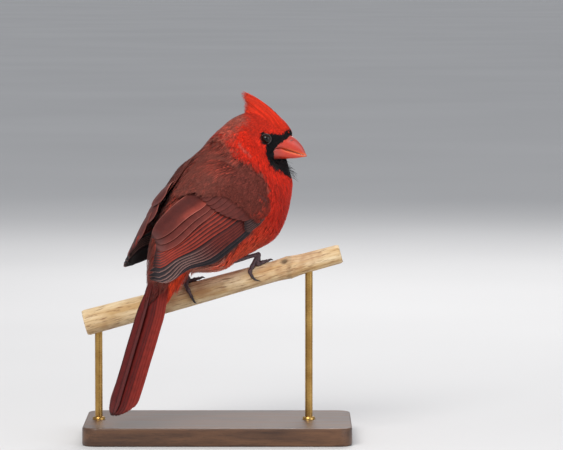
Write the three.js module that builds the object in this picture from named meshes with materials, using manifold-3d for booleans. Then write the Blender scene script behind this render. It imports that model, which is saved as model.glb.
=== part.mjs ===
// Northern cardinal, male, on a cut length of dry stem with a display stand, life size.
// Millimetres, +Z up. The bird looks towards +X. Its body is turned away from the -Y side.
// Origin: the centre of the underside of the stand's base.
import * as THREE from "three";
import { mergeVertices } from "three/addons/utils/BufferGeometryUtils.js";
import Module from "manifold-3d";

const wasm = await Module();
wasm.setup();

// Driving dimensions
const GAP = 0.3;
const DEGREE = Math.PI / 180;
const BODY_HEADING = 33 * DEGREE;
const HEAD_TURN = -31 * DEGREE;
const FEET_X = 3.3;
const NECK_PIVOT = 28;

const STEM = { low: -88, high: 81, slope: 15.3 * DEGREE, height: 99.9, radius: 7.32, taper: 0.0019, nodeAt: 47, sides: 14 };
const BASE = { length: 176, width: 104, thickness: 12, corner: 10, bevel: 1.2 };
const ROD = { radius: 2.5, places: [-79, 60], socket: 5, sides: 14 };

// The coat's sections, from the tail root to the bill. Each one is a plane across the body:
// [u, z] of its point on the back and of its point on the belly, half width, how far it is
// widest below its middle, how round it is (1 an ellipse, less is squarer), and how far it
// turns with the head. u runs forward from the feet along the body's own middle, v to the
// bird's right, z up from the base's underside.
const SECTIONS = {
  tailRoot: { back: [-55.5, 98], belly: [-43.5, 94], half: 9.5, pear: 0, round: 1, turn: 0 },
  vent: { back: [-56, 110], belly: [-36.5, 103.5], half: 13, pear: 0, round: 1, turn: 0 },
  rump: { back: [-54.5, 125], belly: [-27.5, 111.5], half: 18, pear: 0, round: 1, turn: 0 },
  loin: { back: [-50.5, 140.5], belly: [-5.5, 110.5], half: 23.5, pear: 0.05, round: 1, turn: 0 },
  flank: { back: [-43, 154], belly: [6.5, 116.5], half: 27.5, pear: 0.08, round: 1, turn: 0 },
  belly: { back: [-34, 168.5], belly: [21, 123], half: 30.5, pear: 0.1, round: 1, turn: 0 },
  breast: { back: [-24, 182.5], belly: [34.5, 129.5], half: 32, pear: 0.12, round: 1, turn: 0 },
  shoulder: { back: [-12.5, 193], belly: [42.5, 141.5], half: 30.5, pear: 0.12, round: 1, turn: 0 },
  neckRoot: { back: [-5, 200], belly: [48.5, 155.5], half: 24.5, pear: 0.1, round: 0.95, turn: 0.1 },
  neck: { back: [2.7, 205.3], belly: [50.3, 164], half: 18.2, pear: 0.12, round: 0.85, turn: 0.32 },
  nape: { back: [11, 211], belly: [50.2, 169], half: 13.4, pear: 0.15, round: 0.72, turn: 0.58 },
  ear: { back: [21, 215], belly: [49, 174], half: 10.4, pear: 0.18, round: 0.66, turn: 0.8 },
  crown: { back: [29.5, 216.5], belly: [48, 177.5], half: 8.6, pear: 0.2, round: 0.66, turn: 0.93 },
  brow: { back: [38, 214], belly: [47.3, 180.5], half: 7.4, pear: 0.2, round: 0.66, turn: 1 },
  forehead: { back: [44.5, 209.5], belly: [45.5, 183], half: 6.6, pear: 0.2, round: 0.66, turn: 1 },
  lore: { back: [49.5, 203], belly: [42, 184.5], half: 5.8, pear: 0.1, round: 0.7, turn: 1 },
  billRoot: { back: [51, 197.5], belly: [44, 187], half: 4.8, pear: 0, round: 0.8, turn: 1 },
};
const BODY_ROWS = Object.values(SECTIONS);
const CUT = { vent: 1, neckRoot: 8, nape: 9.4 };
// The face is drawn in round the bill, most at this u and z, by this share of its width.
const FACE = { u: 45, z: 190, reach: [9, 8], draw: 0.42, from: 9 };

// The form that the folded wings lie on: the body's own as far back as the flank, then
// drawn out straight past the rump to the wing tips.
const WING_ROWS = [
  { back: [-72, 115], belly: [-29, 86], half: 27, pear: 0, round: 1, turn: 0 },
  { back: [-65, 128.5], belly: [-25, 108], half: 24, pear: 0, round: 1, turn: 0 },
  { back: [-57.5, 142.5], belly: [-4.5, 109.5], half: 26.5, pear: 0.05, round: 1, turn: 0 },
  { back: [-47.5, 157], belly: [7.5, 115.5], half: 29.5, pear: 0.08, round: 1, turn: 0 },
  { back: [-36, 170.5], belly: [21.5, 122.5], half: 31.5, pear: 0.1, round: 1, turn: 0 },
  { back: [-25, 183.5], belly: [34, 130], half: 33, pear: 0.1, round: 1, turn: 0 },
  { back: [-13, 193.5], belly: [41.5, 142], half: 32.5, pear: 0.08, round: 1, turn: 0 },
];
const WING_LIFT = { right: -2.5, left: 3.5, from: 3, power: 1.5 };

const EYE = { u: 32.7, v: 7.7, z: 197.4, radius: 3.6, lidRadius: 3.05, lidTube: 0.5 };

// Colours of the materials
const FINISHES = {
  coat: { color: 0xb3261c, roughness: 0.85, metalness: 0 },
  crest: { color: 0xd8301c, roughness: 0.8, metalness: 0 },
  wing: { color: 0x7c2f2a, roughness: 0.8, metalness: 0 },
  tail: { color: 0x7a1c1c, roughness: 0.75, metalness: 0 },
  bill: { color: 0xe2572f, roughness: 0.45, metalness: 0 },
  eye: { color: 0x120c0a, roughness: 0.08, metalness: 0 },
  leg: { color: 0x3b2c33, roughness: 0.6, metalness: 0 },
  stem: { color: 0xc9a46e, roughness: 0.8, metalness: 0 },
  base: { color: 0x4a3527, roughness: 0.5, metalness: 0 },
  rod: { color: 0xb08d4a, roughness: 0.3, metalness: 1 },
};

// Small helpers
const clamp01 = (x) => Math.min(1, Math.max(0, x));
const mix = (a, b, s) => a + (b - a) * s;
const smooth = (x) => clamp01(x) * clamp01(x) * (3 - 2 * clamp01(x));

function catmull(p0, p1, p2, p3, s) {
  const linear = p2 - p0;
  const square = 2 * p0 - 5 * p1 + 4 * p2 - p3;
  const cube = -p0 + 3 * p1 - 3 * p2 + p3;
  return 0.5 * (2 * p1 + linear * s + square * s * s + cube * s * s * s);
}

// A value of the sections at t, counted in sections from the first row.
function between(rows, t, read) {
  const last = rows.length - 1;
  const i = Math.min(last - 1, Math.max(0, Math.floor(t)));
  const p1 = read(rows[i]);
  const p2 = read(rows[i + 1]);
  const p0 = i > 0 ? read(rows[i - 1]) : 2 * p1 - p2;
  const p3 = i + 2 <= last ? read(rows[i + 2]) : 2 * p2 - p1;
  return catmull(p0, p1, p2, p3, t - i);
}

// From the bird's own u, v, z to the model's frame. turn is 0 on the body and 1 on the head,
// which is turned about an upright axis in the neck.
function place(u, v, z, turn = 0) {
  const angle = HEAD_TURN * turn;
  const du = u - NECK_PIVOT;
  const bodyU = NECK_PIVOT + du * Math.cos(angle) + v * Math.sin(angle);
  const bodyV = v * Math.cos(angle) - du * Math.sin(angle);
  const x = FEET_X + bodyU * Math.cos(BODY_HEADING) + bodyV * Math.sin(BODY_HEADING);
  const y = bodyU * Math.sin(BODY_HEADING) - bodyV * Math.cos(BODY_HEADING);
  return new THREE.Vector3(x, y, z);
}

// A point of the coat's surface at section t and angle theta (0 on the back, positive to the
// bird's right), out by swell and forward by ahead.
function sectionPoint(rows, t, theta, swell = 0, ahead = 0) {
  const backU = between(rows, t, (row) => row.back[0]);
  const backZ = between(rows, t, (row) => row.back[1]);
  const bellyU = between(rows, t, (row) => row.belly[0]);
  const bellyZ = between(rows, t, (row) => row.belly[1]);
  const half = between(rows, t, (row) => row.half) + swell;
  const pear = between(rows, t, (row) => row.pear);
  const turn = between(rows, t, (row) => row.turn);
  const reach = Math.hypot(backU - bellyU, backZ - bellyZ);
  const upU = (backU - bellyU) / reach;
  const upZ = (backZ - bellyZ) / reach;
  const depth = reach / 2 + swell;
  const u = (backU + bellyU) / 2 + Math.cos(theta) * depth * upU + ahead * upZ;
  const z = (backZ + bellyZ) / 2 + Math.cos(theta) * depth * upZ - ahead * upU;
  const round = between(rows, t, (row) => row.round);
  const wide = Math.sign(Math.sin(theta)) * Math.abs(Math.sin(theta)) ** round;
  const v = wide * half * (1 - pear * Math.cos(theta));
  return { u, v, z, turn };
}

function bodyPoint(t, theta, swell = 0, ahead = 0) {
  const p = sectionPoint(BODY_ROWS, t, theta, swell, ahead);
  const off = ((p.u - FACE.u) / FACE.reach[0]) ** 2 + ((p.z - FACE.z) / FACE.reach[1]) ** 2;
  const drawn = FACE.draw * Math.exp(-off) * smooth(t - FACE.from);
  return place(p.u, p.v * (1 - drawn), p.z, p.turn);
}

// Solids from a mesh, and back
function solidFrom(geometry) {
  const bare = geometry.index ? geometry.clone() : geometry;
  for (const name of Object.keys(bare.attributes)) {
    if (name !== "position") {
      bare.deleteAttribute(name);
    }
  }
  const merged = mergeVertices(bare, 1e-5);
  const vertProperties = new Float32Array(merged.attributes.position.array);
  const triVerts = new Uint32Array(merged.index.array);
  return new wasm.Manifold(new wasm.Mesh({ numProp: 3, vertProperties, triVerts }));
}

// A closed body from points and triangles, turned so that its faces point out.
function solidOf(points, triangles) {
  let volume = 0;
  for (let k = 0; k < triangles.length; k += 3) {
    const [a, b, c] = [points[triangles[k]], points[triangles[k + 1]], points[triangles[k + 2]]];
    volume += a.dot(new THREE.Vector3().crossVectors(b, c));
  }
  if (volume < 0) {
    triangles.reverse();
  }
  const geometry = new THREE.BufferGeometry().setFromPoints(points);
  geometry.setIndex(triangles);
  return solidFrom(geometry);
}

function largest(solid) {
  const pieces = solid.decompose();
  return pieces.reduce((best, piece) => (piece.volume() > best.volume() ? piece : best));
}

function joined(solids) {
  return solids.reduce((whole, piece) => whole.add(piece));
}

function meshOf(name, solid, finish) {
  const mesh = largest(solid).getMesh();
  const geometry = new THREE.BufferGeometry();
  geometry.setAttribute("position", new THREE.BufferAttribute(new Float32Array(mesh.vertProperties), 3));
  geometry.setIndex([...mesh.triVerts]);
  geometry.computeVertexNormals();
  const part = new THREE.Mesh(geometry, new THREE.MeshStandardMaterial(finish));
  part.name = name;
  return part;
}

// A closed body through rings of points, each end closed by a fan to its middle.
function loft(rings) {
  const around = rings[0].length;
  const points = rings.flat();
  const triangles = [];
  for (let i = 0; i + 1 < rings.length; i++) {
    for (let j = 0; j < around; j++) {
      const a = i * around + j;
      const b = i * around + ((j + 1) % around);
      triangles.push(a, b, b + around, a, b + around, a + around);
    }
  }
  for (const [ring, first] of [[rings[0], true], [rings[rings.length - 1], false]]) {
    const middle = ring.reduce((sum, p) => sum.add(p), new THREE.Vector3()).divideScalar(around);
    const start = first ? 0 : (rings.length - 1) * around;
    for (let j = 0; j < around; j++) {
      const a = start + j;
      const b = start + ((j + 1) % around);
      triangles.push(points.length, first ? b : a, first ? a : b);
    }
    points.push(middle);
  }
  return solidOf(points, triangles);
}

// A closed sheet: top and bottom from the same grid, split alike, with a wall all round.
function sheet(columns, rows, pointAt) {
  const points = [];
  const at = (i, j, face) => (face * (rows + 1) + j) * (columns + 1) + i;
  for (let face = 0; face < 2; face++) {
    for (let j = 0; j <= rows; j++) {
      for (let i = 0; i <= columns; i++) {
        points.push(pointAt(i, j, face));
      }
    }
  }
  const triangles = [];
  const quad = (a, b, c, d) => triangles.push(a, b, c, a, c, d);
  for (let j = 0; j < rows; j++) {
    for (let i = 0; i < columns; i++) {
      quad(at(i, j, 0), at(i + 1, j, 0), at(i + 1, j + 1, 0), at(i, j + 1, 0));
      triangles.push(at(i, j, 1), at(i + 1, j + 1, 1), at(i + 1, j, 1));
      triangles.push(at(i, j, 1), at(i, j + 1, 1), at(i + 1, j + 1, 1));
    }
    quad(at(0, j, 1), at(0, j, 0), at(0, j + 1, 0), at(0, j + 1, 1));
    quad(at(columns, j, 0), at(columns, j, 1), at(columns, j + 1, 1), at(columns, j + 1, 0));
  }
  for (let i = 0; i < columns; i++) {
    quad(at(i + 1, 0, 0), at(i, 0, 0), at(i, 0, 1), at(i + 1, 0, 1));
    quad(at(i, rows, 0), at(i + 1, rows, 0), at(i + 1, rows, 1), at(i, rows, 1));
  }
  return solidOf(points, triangles);
}

// A round rod of changing radius along a curve.
function rod(places, radii, sides, steps) {
  const curve = new THREE.CatmullRomCurve3(places, false, "centripetal");
  const frames = curve.computeFrenetFrames(steps, false);
  const rings = [];
  for (let i = 0; i <= steps; i++) {
    const centre = curve.getPointAt(i / steps);
    const at = (i / steps) * (radii.length - 1);
    const k = Math.min(radii.length - 2, Math.floor(at));
    const radius = mix(radii[k], radii[k + 1], at - k);
    const ring = [];
    for (let j = 0; j < sides; j++) {
      const angle = (2 * Math.PI * j) / sides;
      const p = centre.clone();
      p.addScaledVector(frames.normals[i], radius * Math.cos(angle));
      p.addScaledVector(frames.binormals[i], radius * Math.sin(angle));
      ring.push(p);
    }
    rings.push(ring);
  }
  return loft(rings);
}

// Coat pieces: the torso, neck and head are one form, parted by thin cuts.
const AROUND = 22;

function bodyRing(t, swell = 0, ahead = 0) {
  const ring = [];
  for (let j = 0; j < AROUND; j++) {
    ring.push(bodyPoint(t, (2 * Math.PI * j) / AROUND, swell, ahead));
  }
  return ring;
}

function bodyPiece(from, to, steps, swell = 0) {
  const rings = [];
  for (let i = 0; i <= steps; i++) {
    rings.push(bodyRing(mix(from, to, i / steps), swell, i === 0 ? GAP : 0));
  }
  return loft(rings);
}

const torso = bodyPiece(CUT.vent, CUT.neckRoot, 14);
const torsoClearance = bodyPiece(CUT.vent - 0.05, CUT.neckRoot + 0.1, 14, GAP);
const neck = bodyPiece(CUT.neckRoot, CUT.nape, 3);

// Eyes, with the coat drawn in round them
const eyeSolids = {};
for (const side of [1, -1]) {
  const ball = new THREE.SphereGeometry(EYE.radius, 12, 8);
  const room = new THREE.SphereGeometry(EYE.radius + GAP, 12, 8);
  const lid = new THREE.TorusGeometry(EYE.lidRadius, EYE.lidTube, 5, 14);
  const centre = place(EYE.u, side * EYE.v, EYE.z, 1);
  const outward = place(EYE.u, side * (EYE.v + 1), EYE.z, 1).sub(centre);
  const rim = Math.sqrt(EYE.radius ** 2 - EYE.lidRadius ** 2) + EYE.lidTube;
  lid.lookAt(outward);
  lid.translate(...centre.clone().addScaledVector(outward, rim).toArray());
  for (const geometry of [ball, room]) {
    geometry.rotateX(Math.PI / 2);
    geometry.translate(...centre.toArray());
  }
  eyeSolids[side] = { ball: solidFrom(ball), room: solidFrom(room), lid: solidFrom(lid) };
}

// The bill: a deep wedge in two parts, with the line of the mouth as the gap between them.
// Each outline is [u, z] from the root to the tip, in the head's own frame.
const BILL = {
  culmen: [[45, 201], [51, 198.4], [56.7, 192.6], [59.9, 185.8]],
  mouth: [[35, 188.5], [40.5, 191.2], [47, 189.6], [59.9, 185.6]],
  keel: [[35, 183.2], [42, 183.6], [52, 184.1], [59.2, 185.2]],
  halfWidth: [6.9, 6.1, 4.2, 0.55],
  rings: 6,
  arc: 6,
};

function outlineAt(outline, s) {
  const u = between(outline, s * (outline.length - 1), (point) => point[0]);
  const z = between(outline, s * (outline.length - 1), (point) => point[1]);
  return [u, z];
}

function mandible(outer, swell) {
  const sign = outer === BILL.culmen ? 1 : -1;
  const rings = [];
  for (let i = 0; i <= BILL.rings; i++) {
    const s = (i / BILL.rings) ** 0.85;
    const [mouthU, mouthZ] = outlineAt(BILL.mouth, s);
    const [outerU, outerZ] = outlineAt(outer, s);
    const half = between(BILL.halfWidth, s * (BILL.halfWidth.length - 1), (w) => w) + swell;
    const ring = [];
    for (let j = 0; j <= BILL.arc; j++) {
      const angle = (Math.PI * j) / BILL.arc;
      const rise = Math.sin(angle) ** 0.9;
      const v = half * Math.cos(angle) * (sign > 0 ? 1 : 0.94);
      const split = mouthZ + sign * (GAP / 2 - swell);
      ring.push(place(mix(mouthU, outerU, rise), v, mix(split, outerZ + sign * swell, rise), 1));
    }
    if (i === 0 && swell > 0) {
      const back = place(-2 * swell, 0, 0, 1).sub(place(0, 0, 0, 1));
      rings.push(ring.map((p) => p.clone().add(back)));
    }
    rings.push(ring);
  }
  return loft(rings);
}

const NOSTRIL = { u: 49.5, v: 3.4, z: 196, radius: 0.7, depth: 3 };
let billUpper = mandible(BILL.culmen, 0);
const billLower = mandible(BILL.keel, 0);
for (const side of [1, -1]) {
  const pit = new THREE.SphereGeometry(NOSTRIL.radius, 6, 5);
  pit.scale(1.4, 1, 1);
  pit.translate(...place(NOSTRIL.u, side * NOSTRIL.v, NOSTRIL.z, 1).toArray());
  billUpper = billUpper.subtract(solidFrom(pit));
}

// Crest feathers, in one file from the forehead to the back of the crown, each one a little
// roof over the next, leaning by turns to either side. Roots and tips are [u, z].
const CREST = {
  roots: [[49.5, 200], [46, 206], [41, 210], [35, 212.5], [24.5, 211]],
  tips: [[34, 219], [25, 225.3], [16, 228.7], [18.2, 222], [19, 215]],
  count: 9,
  half: 4.2,
  arch: 0.12,
  thickness: 0.8,
  roof: 0.95,
  lean: 0.7,
  stops: [0, 0.5, 0.85, 1],
  widths: [0.9, 1, 0.62, 0.2],
};

function crestVane(k) {
  const share = k / (CREST.count - 1);
  const root = outlineAt(CREST.roots, share);
  const tip = outlineAt(CREST.tips, share);
  const [du, dz] = [tip[0] - root[0], tip[1] - root[1]];
  const length = Math.hypot(du, dz);
  const [upU, upZ] = [dz / length, -du / length];
  const aside = k % 2 ? CREST.lean : -CREST.lean;
  return sheet(2, CREST.stops.length - 1, (i, j, face) => {
    const s = CREST.stops[j];
    const across = (i - 1) * CREST.half * CREST.widths[j];
    const arch = CREST.arch * length * 4 * s * (1 - s);
    const height = arch - Math.abs(across) * CREST.roof - face * CREST.thickness;
    return place(root[0] + du * s + upU * height, across + aside, root[1] + dz * s + upZ * height, 1);
  });
}

function crest() {
  return Array.from({ length: CREST.count }, (_, k) => crestVane(k));
}

function headSolid() {
  let head = joined([bodyPiece(CUT.nape, BODY_ROWS.length - 1, 11), ...crest()]);
  for (const side of [1, -1]) {
    head = head.add(eyeSolids[side].lid).subtract(eyeSolids[side].room);
  }
  return head.subtract(mandible(BILL.culmen, GAP)).subtract(mandible(BILL.keel, GAP));
}

// Wings
const VANE = {
  thickness: 0.6,
  tilt: 0.14,
  curve: 30,
  long: { stops: [0, 0.3, 0.62, 0.88, 1], widths: [0.6, 0.95, 1, 0.92, 0.3] },
  short: { stops: [0, 0.55, 1], widths: [0.8, 1, 0.45] },
};

// Each row of a wing, lowest feather first: how many, their roots and tips as [t, degrees] on
// the wing's form (first, middle, last), how far they bow towards the belly (first, last),
// the vane's width below and above its shaft, and its height over the form.
const WING_FEATHERS = [
  {
    name: "primary", count: 6, cut: VANE.long, level: 0.5,
    roots: [[4.95, 106], [4.85, 101], [4.7, 94]],
    tips: [[0.4, 62], [0, 43], [0.35, 39]],
    bow: [24, 14], outer: 3.4, inner: 5.6,
  },
  {
    name: "secondary", count: 5, cut: VANE.long, level: 0.7,
    roots: [[4.6, 89], [4.45, 77], [4.3, 65]],
    tips: [[0.5, 42], [0.8, 40], [1.1, 39]],
    bow: [12, 5], outer: 5, inner: 6.4,
  },
  {
    name: "tertial", count: 3, cut: VANE.long, level: 1.1,
    roots: [[4.3, 63], [4.3, 57], [4.25, 50]],
    tips: [[1.2, 38], [1.4, 31], [1.5, 22]],
    bow: [3, -2], outer: 6.8, inner: 7.6,
  },
  {
    name: "primary covert", count: 3, cut: VANE.short, level: 1.2,
    roots: [[5.05, 106], [5, 102], [4.95, 98]],
    tips: [[3.8, 104], [3.85, 100], [4.05, 95]],
    bow: [2, 0], outer: 2.4, inner: 3.6,
  },
  {
    name: "greater covert", count: 5, cut: VANE.short, level: 1.6,
    roots: [[4.95, 95], [4.85, 76], [4.7, 52]],
    tips: [[4, 90], [3.65, 71], [3.7, 50]],
    bow: [0, 0], outer: 5.2, inner: 5,
  },
  {
    name: "alula", count: 2, cut: VANE.short, level: 1.9,
    roots: [[5.4, 103], [5.35, 101], [5.3, 99]],
    tips: [[4.35, 106], [4.4, 103], [4.45, 100]],
    bow: [0, 0], outer: 2.4, inner: 3,
  },
  {
    name: "median covert", count: 4, cut: VANE.short, level: 2.2,
    roots: [[5.45, 90], [5.3, 72], [5.15, 52]],
    tips: [[4.7, 91], [4.55, 72], [4.4, 52]],
    bow: [0, 0], outer: 6, inner: 6,
  },
];

const ARM = { t: [3.1, 5.75], degrees: [40, 108], rise: 1.5, sink: 5, corner: 0.6, columns: 5, rows: 5 };

const through = (three, s) => {
  const [a, b, c] = three;
  return a * (1 - s) * (1 - 2 * s) + b * 4 * s * (1 - s) + c * s * (2 * s - 1);
};

function wingForm(side) {
  const lift = side > 0 ? WING_LIFT.right : WING_LIFT.left;
  return (t, degrees, swell) => {
    const p = sectionPoint(WING_ROWS, t, side * degrees * DEGREE, swell);
    const raised = lift * Math.max(0, 1 - t / WING_LIFT.from) ** WING_LIFT.power;
    return place(p.u, p.v, p.z + raised, 0);
  };
}

// A feather that lies along a form, from root to tip, with its outer edge the higher one.
function vane(form, row, k) {
  const s = row.count > 1 ? k / (row.count - 1) : 0;
  const root = [0, 1].map((n) => through(row.roots.map((point) => point[n]), s));
  const tip = [0, 1].map((n) => through(row.tips.map((point) => point[n]), s));
  const bow = mix(row.bow[0], row.bow[1], s);
  const lineAt = (x, swell) => {
    const degrees = mix(root[1], tip[1], x) + bow * 4 * x * (1 - x);
    return form(mix(root[0], tip[0], x), degrees, swell);
  };
  const step = 0.01;
  return sheet(1, row.cut.stops.length - 1, (i, j, face) => {
    const at = row.cut.stops[j];
    const centre = lineAt(at, row.level);
    const along = lineAt(at + step, row.level).sub(lineAt(at - step, row.level)).normalize();
    const out = lineAt(at, row.level + 1).sub(centre);
    out.addScaledVector(along, -out.dot(along)).normalize();
    const lower = new THREE.Vector3().crossVectors(out, along);
    const below = form(mix(root[0], tip[0], at), mix(root[1], tip[1], at) + 5, row.level);
    const above = form(mix(root[0], tip[0], at), mix(root[1], tip[1], at) - 5, row.level);
    if (lower.dot(below.sub(above)) < 0) {
      lower.negate();
    }
    const reach = [-row.inner, row.outer][i] * row.cut.widths[j];
    const height = -(reach ** 2) / (2 * VANE.curve) - VANE.tilt * (row.outer - reach);
    centre.addScaledVector(lower, reach);
    return centre.addScaledVector(out, height - face * VANE.thickness);
  });
}

function arm(form) {
  return sheet(ARM.columns, ARM.rows, (i, j, face) => {
    const [a, b] = [i / ARM.columns, j / ARM.rows];
    const edge = Math.min(1, 2.4 * Math.sin(Math.PI * a), 2 * Math.sin(Math.PI * b));
    const swell = face ? -ARM.sink : ARM.rise * edge - 0.6;
    const front = ARM.t[1] - ARM.corner * (2 * a - 1) ** 2;
    return form(mix(ARM.t[0], front, b), mix(...ARM.degrees, a), swell);
  });
}

function wingSolid(side) {
  const form = wingForm(side);
  const pieces = [arm(form)];
  for (const row of WING_FEATHERS) {
    for (let k = 0; k < row.count; k++) {
      pieces.push(vane(form, row, k));
    }
  }
  const middle = place(0, side * GAP, 0);
  const outward = place(0, side * (GAP + 1), 0).sub(middle);
  return joined(pieces).subtract(torsoClearance).trimByPlane(outward.toArray(), middle.dot(outward));
}

// Tail: a root that carries on the body's form, twelve feathers laid one under the other from
// the middle pair outwards, and coverts over and under their bases.
const TAIL = {
  origin: [-50.8, 116],
  slope: 71.2 * DEGREE,
  length: 102,
  pairs: 6,
  from: 9,
  offset: 1.2,
  step: [1.25, 2.15],
  half: [4, 7],
  sway: -3,
  sink: 0.42,
  roof: [0.4, 0.15],
  rounding: 6.5,
  thickness: 0.6,
  stops: [0, 0.25, 0.6, 0.92, 1],
  widths: [0.75, 0.95, 1, 0.9, 0.35],
};
const TAIL_COVERTS = {
  above: { count: 5, from: -3, to: [30, 22], spread: 7, height: 1.4, half: 4.2 },
  below: { count: 5, from: 8, to: [31, 25], spread: 6, height: -12.5, rise: 9, half: 4 },
  stops: [0, 0.6, 1],
  widths: [0.8, 1, 0.4],
};

function tailPoint(across, along, height) {
  const share = clamp01(along / TAIL.length);
  const roofed = height - Math.abs(across) * mix(...TAIL.roof, share);
  const u = TAIL.origin[0] - Math.cos(TAIL.slope) * along - Math.sin(TAIL.slope) * roofed;
  const z = TAIL.origin[1] - Math.sin(TAIL.slope) * along + Math.cos(TAIL.slope) * roofed;
  return place(u, across + TAIL.sway * share, z, 0);
}

function rectrix(k, side) {
  const length = TAIL.length - TAIL.rounding * (k / (TAIL.pairs - 1)) ** 2;
  return sheet(1, TAIL.stops.length - 1, (i, j, face) => {
    const along = mix(TAIL.from, length, TAIL.stops[j]);
    const share = along / TAIL.length;
    const middle = side * (TAIL.offset + k * mix(...TAIL.step, share));
    const half = mix(...TAIL.half, smooth(share * 2)) * TAIL.widths[j];
    const level = (side > 0 ? 0.2 : 0) - k * TAIL.sink;
    return tailPoint(middle + (2 * i - 1) * half, along, level - face * TAIL.thickness);
  });
}

function tailCovert(set, k) {
  const share = k / (set.count - 1) - 0.5;
  const to = mix(...set.to, Math.abs(share) * 2);
  const rise = set.rise ?? 0;
  return sheet(1, TAIL_COVERTS.stops.length - 1, (i, j, face) => {
    const s = TAIL_COVERTS.stops[j];
    const half = set.half * TAIL_COVERTS.widths[j];
    const across = share * 2 * set.spread * (1 - 0.25 * s) + (2 * i - 1) * half;
    const level = set.height + rise * s ** 1.5 - (set.height > 0 ? s : 0);
    return tailPoint(across, mix(set.from, to, s), level + 0.3 * Math.abs(share) - face * TAIL.thickness);
  });
}

function tailSolid() {
  const rings = [
    bodyRing(CUT.vent, 0, -GAP),
    bodyRing(0.5),
    bodyRing(0),
    bodyRing(0, -2, -6),
    bodyRing(0, -5, -13),
  ];
  const pieces = [loft(rings)];
  for (let k = 0; k < TAIL.pairs; k++) {
    pieces.push(rectrix(k, -1), rectrix(k, 1));
  }
  for (const set of [TAIL_COVERTS.above, TAIL_COVERTS.below]) {
    for (let k = 0; k < set.count; k++) {
      pieces.push(tailCovert(set, k));
    }
  }
  return joined(pieces).subtract(torsoClearance);
}

// The stem: a line that rises to the right, with a swelling at its node.
const stemRadius = (x) => {
  const taper = 1 - STEM.taper * x;
  return STEM.radius * taper * (1 + 0.1 * Math.exp(-(((x - STEM.nodeAt) / 6) ** 2)));
};

function stemFrame(x) {
  const centre = new THREE.Vector3(x, 0, STEM.height + x * Math.tan(STEM.slope));
  const up = new THREE.Vector3(-Math.sin(STEM.slope), 0, Math.cos(STEM.slope));
  const along = new THREE.Vector3(Math.cos(STEM.slope), 0, Math.sin(STEM.slope));
  return { centre, up, along };
}

// A point off the stem's surface: at x, at an angle from its top towards +Y, out by out.
function onStem(x, angle, out) {
  const { centre, up } = stemFrame(x);
  const radius = stemRadius(x) + out;
  return centre.clone()
    .addScaledVector(up, Math.cos(angle) * radius)
    .add(new THREE.Vector3(0, Math.sin(angle) * radius, 0));
}

function stemSolid(swell) {
  const steps = 12;
  const rings = [];
  for (let i = 0; i <= steps; i++) {
    const x = mix(STEM.low, STEM.high, i / steps);
    const ring = [];
    for (let j = 0; j < STEM.sides; j++) {
      const angle = (2 * Math.PI * j) / STEM.sides;
      ring.push(onStem(x, angle, swell + 0.15 * Math.sin(3 * angle + 0.05 * x)));
    }
    rings.push(ring);
  }
  return loft(rings);
}

// Legs and feet. Toes are [degrees round the stem from its top, mm along it] from the ankle.
const TOE = { root: 1.7, radius: 1.35, tip: 1, lift: 0.4, sides: 6, steps: 4 };
const CLAW = { radii: [0.75, 0.6, 0.15], lift: [1.3, 0.35], steps: 3 };
const FEET = {
  right: {
    x: 26.4,
    ankle: [26.5, -1, 121.4],
    shank: [[3, -13, 117], [9, -11, 117.6], [15.5, -7.5, 118.9], [22, -3.5, 120.6]],
    toes: [
      [[-18, 2], [-12, 5.5], [-6, 8.5]],
      [[20, 3], [55, 6], [92, 9]],
      [[30, 0], [62, 2], [96, 3]],
      [[-30, -2], [-56, -4], [-82, -3.5]],
    ],
    claws: [
      [[-2, 10.5], [8, 12]],
      [[118, 10], [146, 10.5]],
      [[118, 3.5], [142, 4]],
      [[-98, -2], [-116, 1]],
    ],
  },
  left: {
    x: -19,
    ankle: [-20, -1.5, 105.6],
    shank: [[-19, -16, 121], [-20, -12, 116], [-20.5, -8, 112], [-20.5, -4, 108.5]],
    toes: [
      [[16, 2.5], [14, 6], [12, 9]],
      [[24, 2], [58, 5], [94, 8]],
      [[30, -2], [64, -2], [98, -1]],
      [[-34, 0], [-66, 0.5], [-100, 1.5]],
    ],
    claws: [
      [[12, 11], [18, 12.5]],
      [[118, 9.5], [145, 10]],
      [[120, 0], [144, 1]],
      [[-121, 2.2], [-144, 3.2]],
    ],
  },
};

const SHANK = { radii: [2.6, 2, 1.5, 1.35, 1.5], sides: 8, steps: 6 };

function legSolid(foot) {
  const places = [...foot.shank, foot.ankle].map((p) => new THREE.Vector3(...p));
  const leg = rod(places, SHANK.radii, SHANK.sides, SHANK.steps);
  return leg.subtract(torsoClearance).subtract(toes(foot, GAP));
}

function ankleSolid(foot, swell) {
  const ball = new THREE.SphereGeometry(1.9 + swell, 8, 6);
  ball.translate(...foot.ankle);
  return solidFrom(ball);
}

function toes(foot, swell) {
  const ankle = new THREE.Vector3(...foot.ankle);
  const pieces = [ankleSolid(foot, swell)];
  const radii = [TOE.root, TOE.radius, TOE.tip].map((radius) => radius + swell);
  foot.toes.forEach((toe, k) => {
    const at = ([degrees, along], out) => onStem(foot.x + along, degrees * DEGREE, TOE.lift + out);
    const knuckles = toe.map((joint) => at(joint, TOE.radius));
    pieces.push(rod([ankle, ...knuckles], radii, TOE.sides, TOE.steps));
    const [bend, point] = foot.claws[k];
    const claw = [at(toe[2], TOE.tip), at(bend, CLAW.lift[0]), at(point, CLAW.lift[1])];
    pieces.push(rod(claw, CLAW.radii, TOE.sides, CLAW.steps));
  });
  return joined(pieces);
}

function footSolid(foot) {
  return toes(foot, 0).subtract(stemSolid(GAP)).subtract(torsoClearance);
}

// The display stand
function upright(radius, low, high, x) {
  const cylinder = new THREE.CylinderGeometry(radius, radius, high - low, ROD.sides);
  cylinder.rotateX(Math.PI / 2);
  cylinder.translate(x, 0, (low + high) / 2);
  return solidFrom(cylinder);
}

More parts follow.
